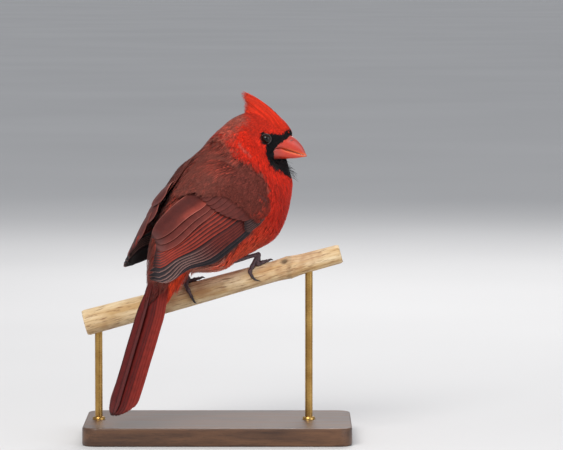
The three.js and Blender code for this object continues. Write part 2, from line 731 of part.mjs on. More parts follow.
const rodTop = (x) => {
  const { centre } = stemFrame(x);
  return centre.z - stemRadius(x) / Math.cos(STEM.slope) + ROD.socket;
};
const rodFoot = BASE.thickness - ROD.socket;

function baseSolid() {
  const [halfX, halfY] = [BASE.length / 2 - BASE.bevel, BASE.width / 2 - BASE.bevel];
  const corner = BASE.corner - BASE.bevel;
  const outline = new THREE.Shape();
  outline.moveTo(-halfX + corner, -halfY);
  outline.absarc(halfX - corner, -halfY + corner, corner, -Math.PI / 2, 0);
  outline.absarc(halfX - corner, halfY - corner, corner, 0, Math.PI / 2);
  outline.absarc(-halfX + corner, halfY - corner, corner, Math.PI / 2, Math.PI);
  outline.absarc(-halfX + corner, -halfY + corner, corner, Math.PI, 1.5 * Math.PI);
  const plate = new THREE.ExtrudeGeometry(outline, {
    depth: BASE.thickness - 2 * BASE.bevel,
    bevelEnabled: true,
    bevelThickness: BASE.bevel,
    bevelSize: BASE.bevel,
    bevelSegments: 1,
    curveSegments: 3,
  });
  plate.translate(0, 0, BASE.bevel);
  return ROD.places.reduce(
    (base, x) => base.subtract(upright(ROD.radius + GAP, rodFoot - GAP, BASE.thickness + 1, x)),
    solidFrom(plate),
  );
}

function perchSolid() {
  const socket = (x) => upright(ROD.radius + GAP, rodTop(x) - 3 * ROD.socket, rodTop(x) + GAP, x);
  return ROD.places.reduce((stem, x) => stem.subtract(socket(x)), stemSolid(0));
}

const group = new THREE.Group();
group.add(
  meshOf("torso", torso, FINISHES.coat),
  meshOf("neck", neck, FINISHES.coat),
  meshOf("head", headSolid(), FINISHES.crest),
  meshOf("bill_upper", billUpper, FINISHES.bill),
  meshOf("bill_lower", billLower, FINISHES.bill),
  meshOf("eye_right", eyeSolids[1].ball, FINISHES.eye),
  meshOf("eye_left", eyeSolids[-1].ball, FINISHES.eye),
  meshOf("wing_right", wingSolid(1), FINISHES.wing),
  meshOf("wing_left", wingSolid(-1), FINISHES.wing),
  meshOf("tail", tailSolid(), FINISHES.tail),
  meshOf("leg_right", legSolid(FEET.right), FINISHES.leg),
  meshOf("leg_left", legSolid(FEET.left), FINISHES.leg),
  meshOf("foot_right", footSolid(FEET.right), FINISHES.leg),
  meshOf("foot_left", footSolid(FEET.left), FINISHES.leg),
  meshOf("perch", perchSolid(), FINISHES.stem),
  meshOf("stand_base", baseSolid(), FINISHES.base),
);
ROD.places.forEach((x, k) => {
  const solid = upright(ROD.radius, rodFoot, rodTop(x), x);
  group.add(meshOf(k ? "stand_rod_right" : "stand_rod_left", solid, FINISHES.rod));
});
group.updateMatrixWorld(true);

export default group;
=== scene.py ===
"""Northern cardinal, male: a life-size still model that grips a cut stem on a display stand.

The bird's own frame is u forward from the feet, v to the bird's right and z up, in
millimetres. A stance turns it into the model's frame, in metres.
"""
import logging
import math
from dataclasses import dataclass, replace
from enum import Enum
from itertools import product
from typing import Callable

import bmesh
import bpy
import numpy as np
from bmesh.types import BMesh
from bpy.types import Material, Node, NodeSocket, Object
from mathutils import Matrix, Vector
from numpy.random import Generator, default_rng


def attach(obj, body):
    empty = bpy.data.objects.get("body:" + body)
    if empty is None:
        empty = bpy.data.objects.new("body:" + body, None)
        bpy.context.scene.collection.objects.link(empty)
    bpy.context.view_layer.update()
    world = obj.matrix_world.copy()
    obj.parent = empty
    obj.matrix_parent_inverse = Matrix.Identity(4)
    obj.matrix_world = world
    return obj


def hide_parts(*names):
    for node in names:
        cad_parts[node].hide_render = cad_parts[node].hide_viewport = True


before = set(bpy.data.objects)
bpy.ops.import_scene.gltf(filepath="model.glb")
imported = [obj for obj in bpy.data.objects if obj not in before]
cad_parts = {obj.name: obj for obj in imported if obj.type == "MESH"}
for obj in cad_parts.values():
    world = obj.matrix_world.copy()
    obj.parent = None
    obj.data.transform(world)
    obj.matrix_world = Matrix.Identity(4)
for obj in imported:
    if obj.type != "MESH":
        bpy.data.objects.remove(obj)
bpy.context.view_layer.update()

LOG = logging.getLogger("cardinal")
MM = 0.001
TURN = 2 * math.pi
SEED = 24
PATCH = 0.003  # The size of one soft feather on its piece's map, which is 1 wide.
MARGIN = 0.02  # The map's empty rim.
FAR = 1e9
Array = np.ndarray
Value = float | Array
Rgb = tuple[float, float, float]
Corners = tuple[tuple[float, float], ...]
FrameAt = Callable[[Array], tuple[Array, Array, Array]]
Feed = NodeSocket | Value | Rgb


class Side(Enum):
    """The bird's two sides, with the sign of v."""

    RIGHT = 1
    LEFT = -1


def mix(a: Value, b: Value, s: Value) -> Value:
    """The value a share s of the way from a to b."""
    return a + (b - a) * s


def smooth(low: float, high: float, x: Value) -> Value:
    """A soft step from 0 at low to 1 at high."""
    s = np.clip((x - low) / (high - low), 0.0, 1.0)
    return s * s * (3.0 - 2.0 * s)


def unit(a: Array) -> Array:
    """The vectors of an array at length one."""
    return a / np.maximum(np.linalg.norm(a, axis=-1, keepdims=True), 1e-12)


def linear(colour: Rgb) -> Array:
    """A colour on a scale of 0 to 255, as linear light."""
    c = np.asarray(colour, float) / 255.0
    return np.where(c <= 0.04045, c / 12.92, ((c + 0.055) / 1.055) ** 2.4)


def inside(u: Array, z: Array, outline: Corners) -> Array:
    """Which of the points lie inside a closed outline of [u, z] corners."""
    within = np.zeros(u.shape, bool)
    for (u0, z0), (u1, z1) in zip(outline, outline[1:] + outline[:1]):
        crosses = (z0 > z) != (z1 > z)
        at = u0 + (z - z0) / np.where(z1 == z0, 1.0, z1 - z0) * (u1 - u0)
        within ^= crosses & (u < at)
    return within


def off_line(u: Array, z: Array, line: Corners) -> Array:
    """How far the points lie from an open line of [u, z] corners."""
    away = np.full(u.shape, FAR)
    for (u0, z0), (u1, z1) in zip(line, line[1:]):
        du, dz = u1 - u0, z1 - z0
        run = np.clip(((u - u0) * du + (z - z0) * dz) / (du**2 + dz**2), 0, 1)
        away = np.minimum(away, np.hypot(u - mix(u0, u1, run), z - mix(z0, z1, run)))
    return away


def step_round(step: int, steps: int) -> float:
    """The angle of one of the steps round a ring, the last of them on the first."""
    return TURN * (step % steps) / steps


def along_line(points: tuple, s: Value) -> Array:
    """Points at shares s of an outline of few points, on one smooth curve."""
    table = np.asarray(points, float)
    return rows_at(table, np.asarray(s, float) * (len(table) - 1))


def rows_at(table: Array, t: Array) -> Array:
    """Rows of a table at t, counted in rows from the first, on a curve through them all."""
    last = len(table) - 1
    i = np.clip(np.floor(t).astype(int), 0, last - 1)
    s = (t - i)[..., None]
    p1, p2 = table[i], table[i + 1]
    p0 = np.where((i > 0)[..., None], table[np.maximum(i - 1, 0)], 2 * p1 - p2)
    p3 = np.where((i + 2 <= last)[..., None], table[np.minimum(i + 2, last)], 2 * p2 - p1)
    square = 2 * p0 - 5 * p1 + 4 * p2 - p3
    cube = 3 * p1 - p0 - 3 * p2 + p3
    before = np.minimum(s, 0.0) * 0.5 * (p2 - p0)
    s = np.maximum(s, 0.0)
    return before + 0.5 * (2 * p1 + (p2 - p0) * s + square * s**2 + cube * s**3)


@dataclass(frozen=True)
class Stance:
    """Where the bird stands and how it is turned, in degrees and millimetres."""

    heading: float = 33.0
    head_turn: float = -31.0
    feet_x: float = 3.3
    neck_pivot: float = 28.0

    def place(self, u: Value, v: Value, z: Value, turn: Value = 0.0) -> Array:
        """Points of the bird's own frame in the model's frame.

        Args:
            u: Forward from the feet.
            v: To the bird's right.
            z: Up from the base's underside.
            turn: 0 on the body and 1 on the head, which is turned about the neck.

        Returns:
            Points in metres, with x, y, z on the last axis.
        """
        angle = math.radians(self.head_turn) * np.asarray(turn, float)
        ahead = u - self.neck_pivot
        body_u = self.neck_pivot + ahead * np.cos(angle) + v * np.sin(angle)
        body_v = v * np.cos(angle) - ahead * np.sin(angle)
        heading = math.radians(self.heading)
        x = self.feet_x + body_u * math.cos(heading) + body_v * math.sin(heading)
        y = body_u * math.sin(heading) - body_v * math.cos(heading)
        return np.stack([x, y, z + 0.0 * x], -1) * MM

    def place_head(self, points: Array) -> Array:
        """Points of the head, u, v, z on the last axis, in the model's frame."""
        return self.place(points[..., 0], points[..., 1], points[..., 2], 1.0)


STANCE = Stance()


@dataclass(frozen=True)
class Section:
    """One slice across a form, from its point on the back to its point on the belly.

    half is its half width, pear how far it is widest below its middle, round how round it is
    (1 an ellipse, less is squarer) and turn how far it turns with the head.
    """

    back: tuple[float, float]
    belly: tuple[float, float]
    half: float
    pear: float = 0.0
    round: float = 1.0
    turn: float = 0.0

    def row(self) -> tuple[float, ...]:
        """The section as one row of numbers."""
        return (*self.back, *self.belly, self.half, self.pear, self.round, self.turn)


class Form:
    """A smooth form through sections. t counts them and theta is 0 on the back."""

    lift_from: float = 3.0

    def __init__(self, sections: tuple[Section, ...], lift: float = 0.0) -> None:
        """Keeps the sections and how far the form's rear end is raised."""
        self.table = np.array([section.row() for section in sections])
        self.lift = lift

    def local(self, t: Value, theta: Value, swell: Value = 0.0) -> tuple[Array, ...]:
        """u, v, z and turn of points out from the form by swell, in millimetres."""
        t, theta = np.broadcast_arrays(np.asarray(t, float), np.asarray(theta, float))
        row = np.moveaxis(rows_at(self.table, t), -1, 0)
        back_u, back_z, belly_u, belly_z, half, pear, rounded, turn = row
        reach = np.hypot(back_u - belly_u, back_z - belly_z)
        depth = reach / 2 + swell
        c, s = np.cos(theta), np.sin(theta)
        u = (back_u + belly_u) / 2 + c * depth * (back_u - belly_u) / reach
        z = (back_z + belly_z) / 2 + c * depth * (back_z - belly_z) / reach
        z = z + self.lift * np.maximum(0.0, 1 - t / self.lift_from) ** 1.5
        v = np.sign(s) * np.abs(s) ** rounded * (half + swell) * (1 - pear * c)
        return u, v, z, turn

    def point(self, t: Value, theta: Value, swell: Value = 0.0) -> Array:
        """Points of the form in the model's frame."""
        return STANCE.place(*self.local(t, theta, swell))

    def grain(self, t: Array, theta: Array) -> dict[str, Array]:
        """The lie of a feather at each root.

        Returns:
            The steps of t and theta for a millimetre along the body towards the tail and a
            millimetre across it, and the outward normal with both directions.
        """
        step = 0.02
        by_t = (self.point(t + step, theta) - self.point(t - step, theta)) / (2 * step * MM)
        by_theta = (self.point(t, theta + step) - self.point(t, theta - step)) / (2 * step * MM)
        e = (by_t**2).sum(-1)
        f = (by_t * by_theta).sum(-1)
        across = by_theta - (f / e)[..., None] * by_t
        width = np.linalg.norm(across, axis=-1)
        out = self.point(t, theta, 1.0) - self.point(t, theta, -1.0)
        normal = np.cross(by_t, by_theta)
        normal = unit(normal * np.sign((normal * out).sum(-1))[..., None])
        return {
            "along_t": -1 / np.sqrt(e),
            "across_t": -(f / e) / width,
            "across_theta": 1 / width,
            "normal": normal,
            "along": -unit(by_t),
            "across": across / width[..., None],
        }


COAT_SECTIONS = (
    Section((-55.5, 98), (-43.5, 94), 9.5),
    Section((-56, 110), (-36.5, 103.5), 13),
    Section((-54.5, 125), (-27.5, 111.5), 18),
    Section((-50.5, 140.5), (-5.5, 110.5), 23.5, 0.05),
    Section((-43, 154), (6.5, 116.5), 27.5, 0.08),
    Section((-34, 168.5), (21, 123), 30.5, 0.1),
    Section((-24, 182.5), (34.5, 129.5), 32, 0.12),
    Section((-12.5, 193), (42.5, 141.5), 30.5, 0.12),
    Section((-5, 200), (48.5, 155.5), 24.5, 0.1, 0.95, 0.12),
    Section((2.7, 205.3), (50.3, 164), 18.2, 0.12, 0.85, 0.36),
    Section((11, 211), (50.2, 169), 13.4, 0.15, 0.72, 0.68),
    Section((21, 215), (49, 174), 10.4, 0.18, 0.66, 0.92),
    Section((29.5, 216.5), (48, 177.5), 8.6, 0.2, 0.66, 1),
    Section((38, 214), (47.3, 180.5), 7.4, 0.2, 0.66, 1),
    Section((44.5, 209.5), (45.5, 183), 6.6, 0.2, 0.66, 1),
    Section((49.5, 203), (42, 184.5), 5.8, 0.1, 0.7, 1),
    Section((51, 197.5), (44, 187), 4.8, 0, 0.8, 1),
)
WING_SECTIONS = (
    Section((-72, 115), (-29, 86), 27),
    Section((-65, 128.5), (-25, 108), 24),
    Section((-57.5, 142.5), (-4.5, 109.5), 26.5, 0.05),
    Section((-47.5, 157), (7.5, 115.5), 29.5, 0.08),
    Section((-36, 170.5), (21.5, 122.5), 31.5, 0.1),
    Section((-25, 183.5), (34, 130), 33, 0.1),
    Section((-13, 193.5), (41.5, 142), 32.5, 0.08),
)


@dataclass(frozen=True)
class BillShape:
    """The bill's outlines as [u, z] in the head's own frame, from the root to the tip."""

    culmen: Corners = ((45, 201), (51, 198.4), (56.7, 192.6), (59.9, 185.8))
    mouth: Corners = ((35, 188.5), (40.5, 191.2), (47, 189.6), (59.9, 185.6))
    keel: Corners = ((35, 183.2), (42, 183.6), (52, 184.1), (59.2, 185.2))
    half_width: tuple[tuple[float], ...] = ((6.9,), (6.1,), (4.2,), (0.55,))
    gap: float = 0.16

    def surface(self, upper: bool, s: Value, angle: Value) -> tuple[Array, Array, Array]:
        """u, v and z of the outside at shares s of the length, round from side to side by angle."""
        mouth = along_line(self.mouth, s)
        ridge = along_line(self.culmen if upper else self.keel, s)
        half = along_line(self.half_width, s)[..., 0] * (1.0 if upper else 0.94)
        rise = np.sin(angle) ** 0.9
        v = half * np.sign(np.cos(angle)) * np.abs(np.cos(angle)) ** (0.85 if upper else 0.62)
        u = mix(mouth[..., 0], ridge[..., 0], rise)
        z = mix(mouth[..., 1] + (0.5 if upper else -0.5) * self.gap, ridge[..., 1], rise)
        return u, v, z


BILL_SHAPE = BillShape()


class BillEdge:
    """The line where the feathers meet the bill, and how the coat is drawn in to it."""

    line: Corners = (
        (48.7, 198.6), (46.7, 196.2), (44.5, 194.8), (42.2, 193.9), (40.4, 191.8), (37.7, 189.7),
        (38.9, 188.2), (38.5, 186.4), (38.2, 184.6), (39.2, 183.7), (46.5, 183.0), (62.0, 182.0),
        (64.0, 200.0), (50.5, 199.9),
    )
    low: tuple[float, float] = (26.0, 172.0)
    high: tuple[float, float] = (64.0, 208.0)
    step: float = 0.4
    ramp: float = 5.0
    sink: float = 0.15
    over_horn: float = 0.45

    def __init__(self) -> None:
        """Tables the distance to the line and the bill's half width over the side of the face."""
        u = np.arange(self.low[0], self.high[0], self.step)
        z = np.arange(self.low[1], self.high[1], self.step)
        grid_u, grid_z = np.meshgrid(u, z, indexing="ij")
        away = off_line(grid_u, grid_z, self.line + self.line[:1])
        self.away = np.where(inside(grid_u, grid_z, self.line), -away, away)
        s, angle = np.meshgrid(np.linspace(0, 1, 50), np.linspace(0, math.pi / 2, 16), indexing="ij")
        halves = [BILL_SHAPE.surface(upper, s, angle) for upper in (True, False)]
        su, sv, sz = (np.concatenate([half[k].ravel() for half in halves]) for k in range(3))
        spots = zip(grid_u.ravel(), grid_z.ravel())
        nearest = [((su - a) ** 2 + (sz - b) ** 2).argmin() for a, b in spots]
        self.width = np.abs(sv)[nearest].reshape(grid_u.shape)

    def look(self, table: Array, u: Array, z: Array) -> Array:
        """A table's value at u and z, blended between its points."""
        a = np.clip((u - self.low[0]) / self.step, 0, table.shape[0] - 1.001)
        b = np.clip((z - self.low[1]) / self.step, 0, table.shape[1] - 1.001)
        i, j = a.astype(int), b.astype(int)
        a, b = a - i, b - j
        below = mix(table[i, j], table[i + 1, j], a)
        return mix(below, mix(table[i, j + 1], table[i + 1, j + 1], a), b)

    def drawn(self, u: Array, v: Array, z: Array, swell: Value) -> Array:
        """v drawn in so that the coat runs into the bill's side and lies over the horn's root."""
        away = self.look(self.away, u, z)
        bill = self.look(self.width, u, z) - self.sink + swell - 0.9 * smooth(0.0, -1.5, away)
        most = np.maximum(bill + smooth(-0.2, 1.6, away), 0.2)
        least = (bill + self.over_horn * smooth(-0.2, 1.0, away)) * smooth(4.0, 2.0, away)
        size = np.abs(v)
        drawn = mix(size, np.minimum(size, most), smooth(self.ramp, 0.0, away))
        return np.sign(v) * np.maximum(drawn, least)


BILL_EDGE = BillEdge()


class CoatForm(Form):
    """The coat's form, with the face drawn in round the bill and turned with the head."""

    face: tuple[float, float] = (45.0, 190.0)
    reach: tuple[float, float] = (9.0, 8.0)
    draw: float = 0.42
    start: float = 9.0
    mouth: tuple[float, float] = (42.0, 188.0)

    def local(self, t: Value, theta: Value, swell: Value = 0.0) -> tuple[Array, ...]:
        """u, v, z and turn of points out from the form by swell, in millimetres."""
        u, v, z, turn = super().local(t, theta, swell)
        off = ((u - self.face[0]) / self.reach[0]) ** 2 + ((z - self.face[1]) / self.reach[1]) ** 2
        v = v * (1 - self.draw * np.exp(-off) * smooth(self.start, self.start + 1, t))
        near = np.exp(-((u - self.mouth[0]) / 9) ** 2 - ((z - self.mouth[1]) / 9) ** 2)
        near = near * smooth(8.8, 9.8, t)
        v = mix(v, BILL_EDGE.drawn(u, v, z, swell), smooth(9.3, 10.2, t))
        return u, v, z, turn + (1 - turn) * near


COAT = CoatForm(COAT_SECTIONS)
WING_FORMS = {Side.RIGHT: Form(WING_SECTIONS, -2.5), Side.LEFT: Form(WING_SECTIONS, 3.5)}


# Finishes


class Nodes:
    """Builds a material's node tree with few words."""

    def __init__(self, name: str) -> None:
        """Starts a material with its own shader and output."""
        self.material = bpy.data.materials.new(name)
        self.material.use_nodes = True
        self.tree = self.material.node_tree
        self.shader = self.tree.nodes["Principled BSDF"]

    def add(self, kind: str, **values) -> Node:
        """Adds a node and sets its properties."""
        node = self.tree.nodes.new(kind)
        for name, value in values.items():
            setattr(node, name, value)
        return node

    def link(self, output: NodeSocket, target: NodeSocket) -> None:
        """Joins an output to an input."""
        self.tree.links.new(output, target)

    def set(self, **values) -> None:
        """Sets the shader's own sockets, named with underscores for spaces."""
        for name, value in values.items():
            self.shader.inputs[name.replace("_", " ")].default_value = value

    def attribute(self, name: str, output: str = "Color") -> NodeSocket:
        """Reads one of the mesh's attributes."""
        node = self.add("ShaderNodeAttribute", attribute_name=name, attribute_type="GEOMETRY")
        return node.outputs[output]

    def mapped(self, vector: NodeSocket, **values) -> NodeSocket:
        """A vector after a mapping with a scale or a rotation."""
        mapping = self.add("ShaderNodeMapping")
        for name, value in values.items():
            mapping.inputs[name].default_value = value
        self.link(vector, mapping.inputs["Vector"])
        return mapping.outputs["Vector"]

    def place(self, **values) -> NodeSocket:
        """Object coordinates, scaled or rotated."""
        return self.mapped(self.add("ShaderNodeTexCoord").outputs["Object"], **values)

    def noise(
        self, scale: float, detail: float = 4.0, vector: NodeSocket | None = None, rough: float = 0.5
    ) -> NodeSocket:
        """A noise from 0 to 1 at a scale per metre."""
        node = self.add("ShaderNodeTexNoise")
        node.inputs["Scale"].default_value = scale
        node.inputs["Detail"].default_value = detail
        node.inputs["Roughness"].default_value = rough
        self.link(vector if vector is not None else self.place(), node.inputs["Vector"])
        return node.outputs["Fac"]

    def spread(
        self, value: NodeSocket, low: float, high: float, from_low: float = 0.3, from_high: float = 0.7
    ) -> NodeSocket:
        """Moves a value from one range to another, clamped."""
        node = self.add("ShaderNodeMapRange")
        ends = {"From Min": from_low, "From Max": from_high, "To Min": low, "To Max": high}
        for name, end in ends.items():
            node.inputs[name].default_value = end
        self.link(value, node.inputs["Value"])
        return node.outputs["Result"]

    def blend(self, share: Feed, first: Feed, second: Feed, mode: str = "MIX") -> NodeSocket:
        """Mixes two colours, each an output or three numbers."""
        node = self.add("ShaderNodeMix", data_type="RGBA", blend_type=mode)
        sockets = {s.identifier: s for s in node.inputs}
        for key, value in (("Factor_Float", share), ("A_Color", first), ("B_Color", second)):
            if isinstance(value, NodeSocket):
                self.link(value, sockets[key])
            elif key == "Factor_Float":
                sockets[key].default_value = value
            else:
                sockets[key].default_value = (*value, 1.0)
        return next(s for s in node.outputs if s.identifier == "Result_Color")

    def calc(self, operation: str, first: Feed, second: Feed | None = None) -> NodeSocket:
        """One step of arithmetic on outputs or numbers."""
        node = self.add("ShaderNodeMath", operation=operation)
        for socket, value in zip(node.inputs, (first, second)):
            if isinstance(value, NodeSocket):
                self.link(value, socket)
            elif value is not None:
                socket.default_value = value
        return node.outputs[0]

    def bump(self, height: NodeSocket, strength: float, distance: float) -> None:
        """Raises the surface by a height."""
        node = self.add("ShaderNodeBump")
        node.inputs["Strength"].default_value = strength
        node.inputs["Distance"].default_value = distance
        self.link(height, node.inputs["Height"])
        self.link(node.outputs["Normal"], self.shader.inputs["Normal"])

    def colour(self, output: NodeSocket) -> None:
        """Sends a colour to the shader."""
        self.link(output, self.shader.inputs["Base Color"])

    def painted(self, name: str, *shades: NodeSocket) -> None:
        """Sends the mesh's own colours to the shader, multiplied by shades."""
        colour = self.attribute(name)
        for shade in shades:
            colour = self.blend(1.0, colour, shade, "MULTIPLY")
        self.colour(colour)


@dataclass(frozen=True)
class FeatherFinish:
    """Soft feathers: the colours come from the mesh, with fine mottling over them."""

    name: str = "plumage_soft"
    roughness: float = 0.68
    specular: float = 0.16
    sheen: float = 0.06
    mottle: tuple[float, float] = (0.84, 1.1)
    grain: float = 700.0

    def material(self) -> Material:
        """Builds the material."""
        n = Nodes(self.name)
        n.set(Roughness=self.roughness, Specular_IOR_Level=self.specular)
        n.set(Sheen_Weight=self.sheen, Sheen_Roughness=0.4)
        n.painted("plumage", n.spread(n.noise(self.grain, 3.0), *self.mottle))
        return n.material


@dataclass(frozen=True)
class VaneFinish:
    """Firm feathers: barbs in fine slanting lines on both sides of a shaft."""

    name: str = "plumage_firm"
    roughness: float = 0.58
    specular: float = 0.2
    sheen: float = 0.04
    barb: float = 0.55
    slant: float = 1.1
    mottle: tuple[float, float] = (0.8, 1.14)
    lines: tuple[float, float] = (0.9, 1.05)
    relief: float = 0.00006

    def material(self) -> Material:
        """Builds the material from the vane attribute: across, along and seed in millimetres."""
        n = Nodes(self.name)
        n.set(Roughness=self.roughness, Specular_IOR_Level=self.specular)
        n.set(Sheen_Weight=self.sheen, Sheen_Roughness=0.5)
        split = n.add("ShaderNodeSeparateXYZ")
        n.link(n.attribute("vane", "Vector"), split.inputs[0])
        aside = n.calc("ABSOLUTE", split.outputs["X"])
        run = n.calc("SUBTRACT", split.outputs["Y"], n.calc("MULTIPLY", aside, self.slant))
        lines = n.calc("SINE", n.calc("MULTIPLY", run, TURN / self.barb))
        shade = n.spread(n.noise(260.0), *self.mottle)
        n.painted("plumage", shade, n.spread(lines, *self.lines, -1.0, 1.0))
        n.bump(lines, 0.5, self.relief)
        return n.material


@dataclass(frozen=True)
class HornFinish:
    """Smooth horn of the bill: painted, faintly grained along its length."""

    name: str = "bill_horn"
    roughness: float = 0.32
    grain: float = 900.0
    mottle: tuple[float, float] = (0.86, 1.1)

    def material(self) -> Material:
        """Builds the material."""
        n = Nodes(self.name)
        n.set(Roughness=self.roughness, Specular_IOR_Level=0.5, Coat_Weight=0.15)
        streak = n.noise(self.grain, 5.0, n.place(Scale=(0.5, 1.4, 1.4)), 0.6)
        n.painted("paint", n.spread(streak, *self.mottle))
        n.bump(streak, 0.25, 0.0001)
        return n.material


@dataclass(frozen=True)
class EyeFinish:
    """A wet dark eye: nearly black, with a dark brown iris."""

    name: str = "eye_wet"
    mottle: tuple[float, float] = (0.5, 1.5)

    def material(self) -> Material:
        """Builds the material."""
        n = Nodes(self.name)
        n.set(Roughness=0.05, Specular_IOR_Level=0.28)
        n.painted("paint", n.spread(n.noise(1500.0, 3.0), *self.mottle))
        return n.material


@dataclass(frozen=True)
class ScaleFinish:
    """Scaly skin of the legs, toes and eyelids, with painted shade in its creases."""

    name: str
    dark: Rgb
    light: Rgb
    cell: float = 1100.0
    roughness: float = 0.48

    def material(self) -> Material:
        """Builds the material."""
        n = Nodes(self.name)
        n.set(Roughness=self.roughness, Specular_IOR_Level=0.45)
        cells = n.add("ShaderNodeTexVoronoi", feature="DISTANCE_TO_EDGE")
        cells.inputs["Scale"].default_value = self.cell
        n.link(n.place(Scale=(1, 1, 1.6)), cells.inputs["Vector"])
        crease = n.spread(cells.outputs["Distance"], 0.0, 1.0, 0.0, 0.12)
        cloud = n.spread(n.noise(500.0), 0.0, 1.0)
        skin = n.blend(cloud, linear(self.dark), linear(self.light))
        # Painted shade: the creases between the scales take a darker copy of the dark tone.
        n.colour(n.blend(crease, linear(self.dark) * 0.4, skin))
        n.bump(crease, 0.6, 0.00015)
        return n.material


@dataclass(frozen=True)
class StemFinish:
    """A dry stem: straw coloured, with brown streaks and pale flecks along it."""

    slope: float
    name: str = "stem_straw"
    straw: Rgb = (196, 160, 110)
    pale: Rgb = (230, 208, 170)
    streak: Rgb = (122, 80, 48)
    patch: Rgb = (158, 108, 70)

    def material(self) -> Material:
        """Builds the material."""
        n = Nodes(self.name)
        n.set(Roughness=0.62, Specular_IOR_Level=0.3)
        level = n.place(Rotation=(0.0, math.radians(self.slope), 0.0))
        lengthwise = n.mapped(level, Scale=(0.12, 1.0, 1.0))
        grain = n.noise(900.0, 6.0, lengthwise, 0.65)
        broad = n.noise(170.0, 4.0, lengthwise, 0.6)
        patch = n.noise(60.0, 3.0)
        straw = n.spread(broad, 0.0, 1.0, 0.38, 0.62)
        straw = n.blend(straw, linear(self.straw), linear(self.pale))
        streaked = n.blend(n.spread(grain, 0.0, 0.9, 0.52, 0.68), straw, linear(self.streak))
        brown = n.blend(n.spread(patch, 0.0, 0.6, 0.5, 0.68), streaked, linear(self.patch))
        n.colour(n.blend(1.0, brown, n.attribute("paint"), "MULTIPLY"))
        n.bump(grain, 0.6, 0.0003)
        return n.material


@dataclass(frozen=True)
class WoodFinish:
    """Dark stained wood with a satin surface and long grain."""

    name: str = "base_wood"
    dark: Rgb = (62, 40, 28)
    light: Rgb = (106, 72, 48)
    pore: Rgb = (40, 26, 18)

    def material(self) -> Material:
        """Builds the material."""
        n = Nodes(self.name)
        n.set(Specular_IOR_Level=0.4, Coat_Weight=0.2, Coat_Roughness=0.25)
        vector = n.place(Scale=(0.1, 1.0, 1.0))
        rings = n.noise(150.0, 6.0, vector, 0.6)
        pores = n.noise(1400.0, 3.0, vector, 0.6)
        tone = n.spread(rings, 0.0, 1.0, 0.35, 0.65)
        tone = n.blend(tone, linear(self.dark), linear(self.light))
        n.colour(n.blend(n.spread(pores, 0.0, 0.5, 0.55, 0.7), tone, linear(self.pore)))
        n.link(n.spread(rings, 0.36, 0.5), n.shader.inputs["Roughness"])
        n.bump(pores, 0.2, 0.0001)
        return n.material


@dataclass(frozen=True)
class BrassFinish:
    """Turned brass, brushed round and a little dulled."""

    name: str = "rod_brass"
    bright: Rgb = (190, 152, 88)
    dull: Rgb = (160, 122, 66)

    def material(self) -> Material:
        """Builds the material."""
        n = Nodes(self.name)
        n.set(Metallic=1.0)
        turned = n.noise(400.0, 3.0, n.place(Scale=(0.3, 0.3, 6.0)))
        dull = n.spread(n.noise(90.0), 0.0, 1.0)
        n.colour(n.blend(dull, linear(self.bright), linear(self.dull)))
        n.link(n.spread(turned, 0.24, 0.36), n.shader.inputs["Roughness"])
        n.bump(turned, 0.15, 0.00005)
        return n.material


# Mesh helpers


def in_scene(name: str, data: bpy.types.ID) -> Object:
    """An object of some data, linked to the scene."""
    thing = bpy.data.objects.new(name, data)
    bpy.context.scene.collection.objects.link(thing)
    return thing


def mesh_piece(name: str, points: Array, faces: Array, material: Material) -> Object:
    """Makes an object of triangles from arrays, smoothly shaded.

    Args:
        name: The piece's name.
        points: Corners in metres, one row each.
        faces: Three corner numbers a row.
        material: The piece's finish.

    Returns:
        The object, in the scene.
    """
    mesh = bpy.data.meshes.new(name)
    mesh.vertices.add(len(points))
    mesh.vertices.foreach_set("co", np.ascontiguousarray(points, np.float32).ravel())
    mesh.loops.add(3 * len(faces))
    mesh.loops.foreach_set("vertex_index", np.ascontiguousarray(faces, np.int32).ravel())
    mesh.polygons.add(len(faces))
    mesh.polygons.foreach_set("loop_start", np.arange(0, 3 * len(faces), 3, dtype=np.int32))
    mesh.polygons.foreach_set("use_smooth", np.ones(len(faces), bool))
    mesh.update(calc_edges=True)
    mesh.materials.append(material)
    return in_scene(name, mesh)


def paint(piece: Object, name: str, colours: Array) -> None:
    """Stores linear colours on a mesh's corners."""
    rgba = np.concatenate([colours, np.ones((len(colours), 1))], 1).astype(np.float32)
    layer = piece.data.color_attributes.new(name=name, type="FLOAT_COLOR", domain="POINT")
    layer.data.foreach_set("color", rgba.ravel())


def bake_map(piece: Object, uv: Array) -> None:
    """Stores the map OFBake, given for each corner of the mesh."""
    layer = piece.data.uv_layers.new(name="OFBake")
    index = np.zeros(len(piece.data.loops), np.int32)
    piece.data.loops.foreach_get("vertex_index", index)
    layer.data.foreach_set("uv", uv[index].astype(np.float32).ravel())


def from_bmesh(name: str, bm: BMesh, material: Material) -> Object:
    """Turns a worked mesh into a smooth object with its faces pointing out."""
    bmesh.ops.recalc_face_normals(bm, faces=bm.faces)
    mesh = bpy.data.meshes.new(name)
    bm.to_mesh(mesh)
    bm.free()
    mesh.materials.append(material)
    for polygon in mesh.polygons:
        polygon.use_smooth = True
    return in_scene(name, mesh)


def corners(piece: Object) -> Array:
    """The corners of a piece's mesh, in metres."""
    out = np.zeros(3 * len(piece.data.vertices), np.float32)
    piece.data.vertices.foreach_get("co", out)
    return out.reshape(-1, 3).astype(float)


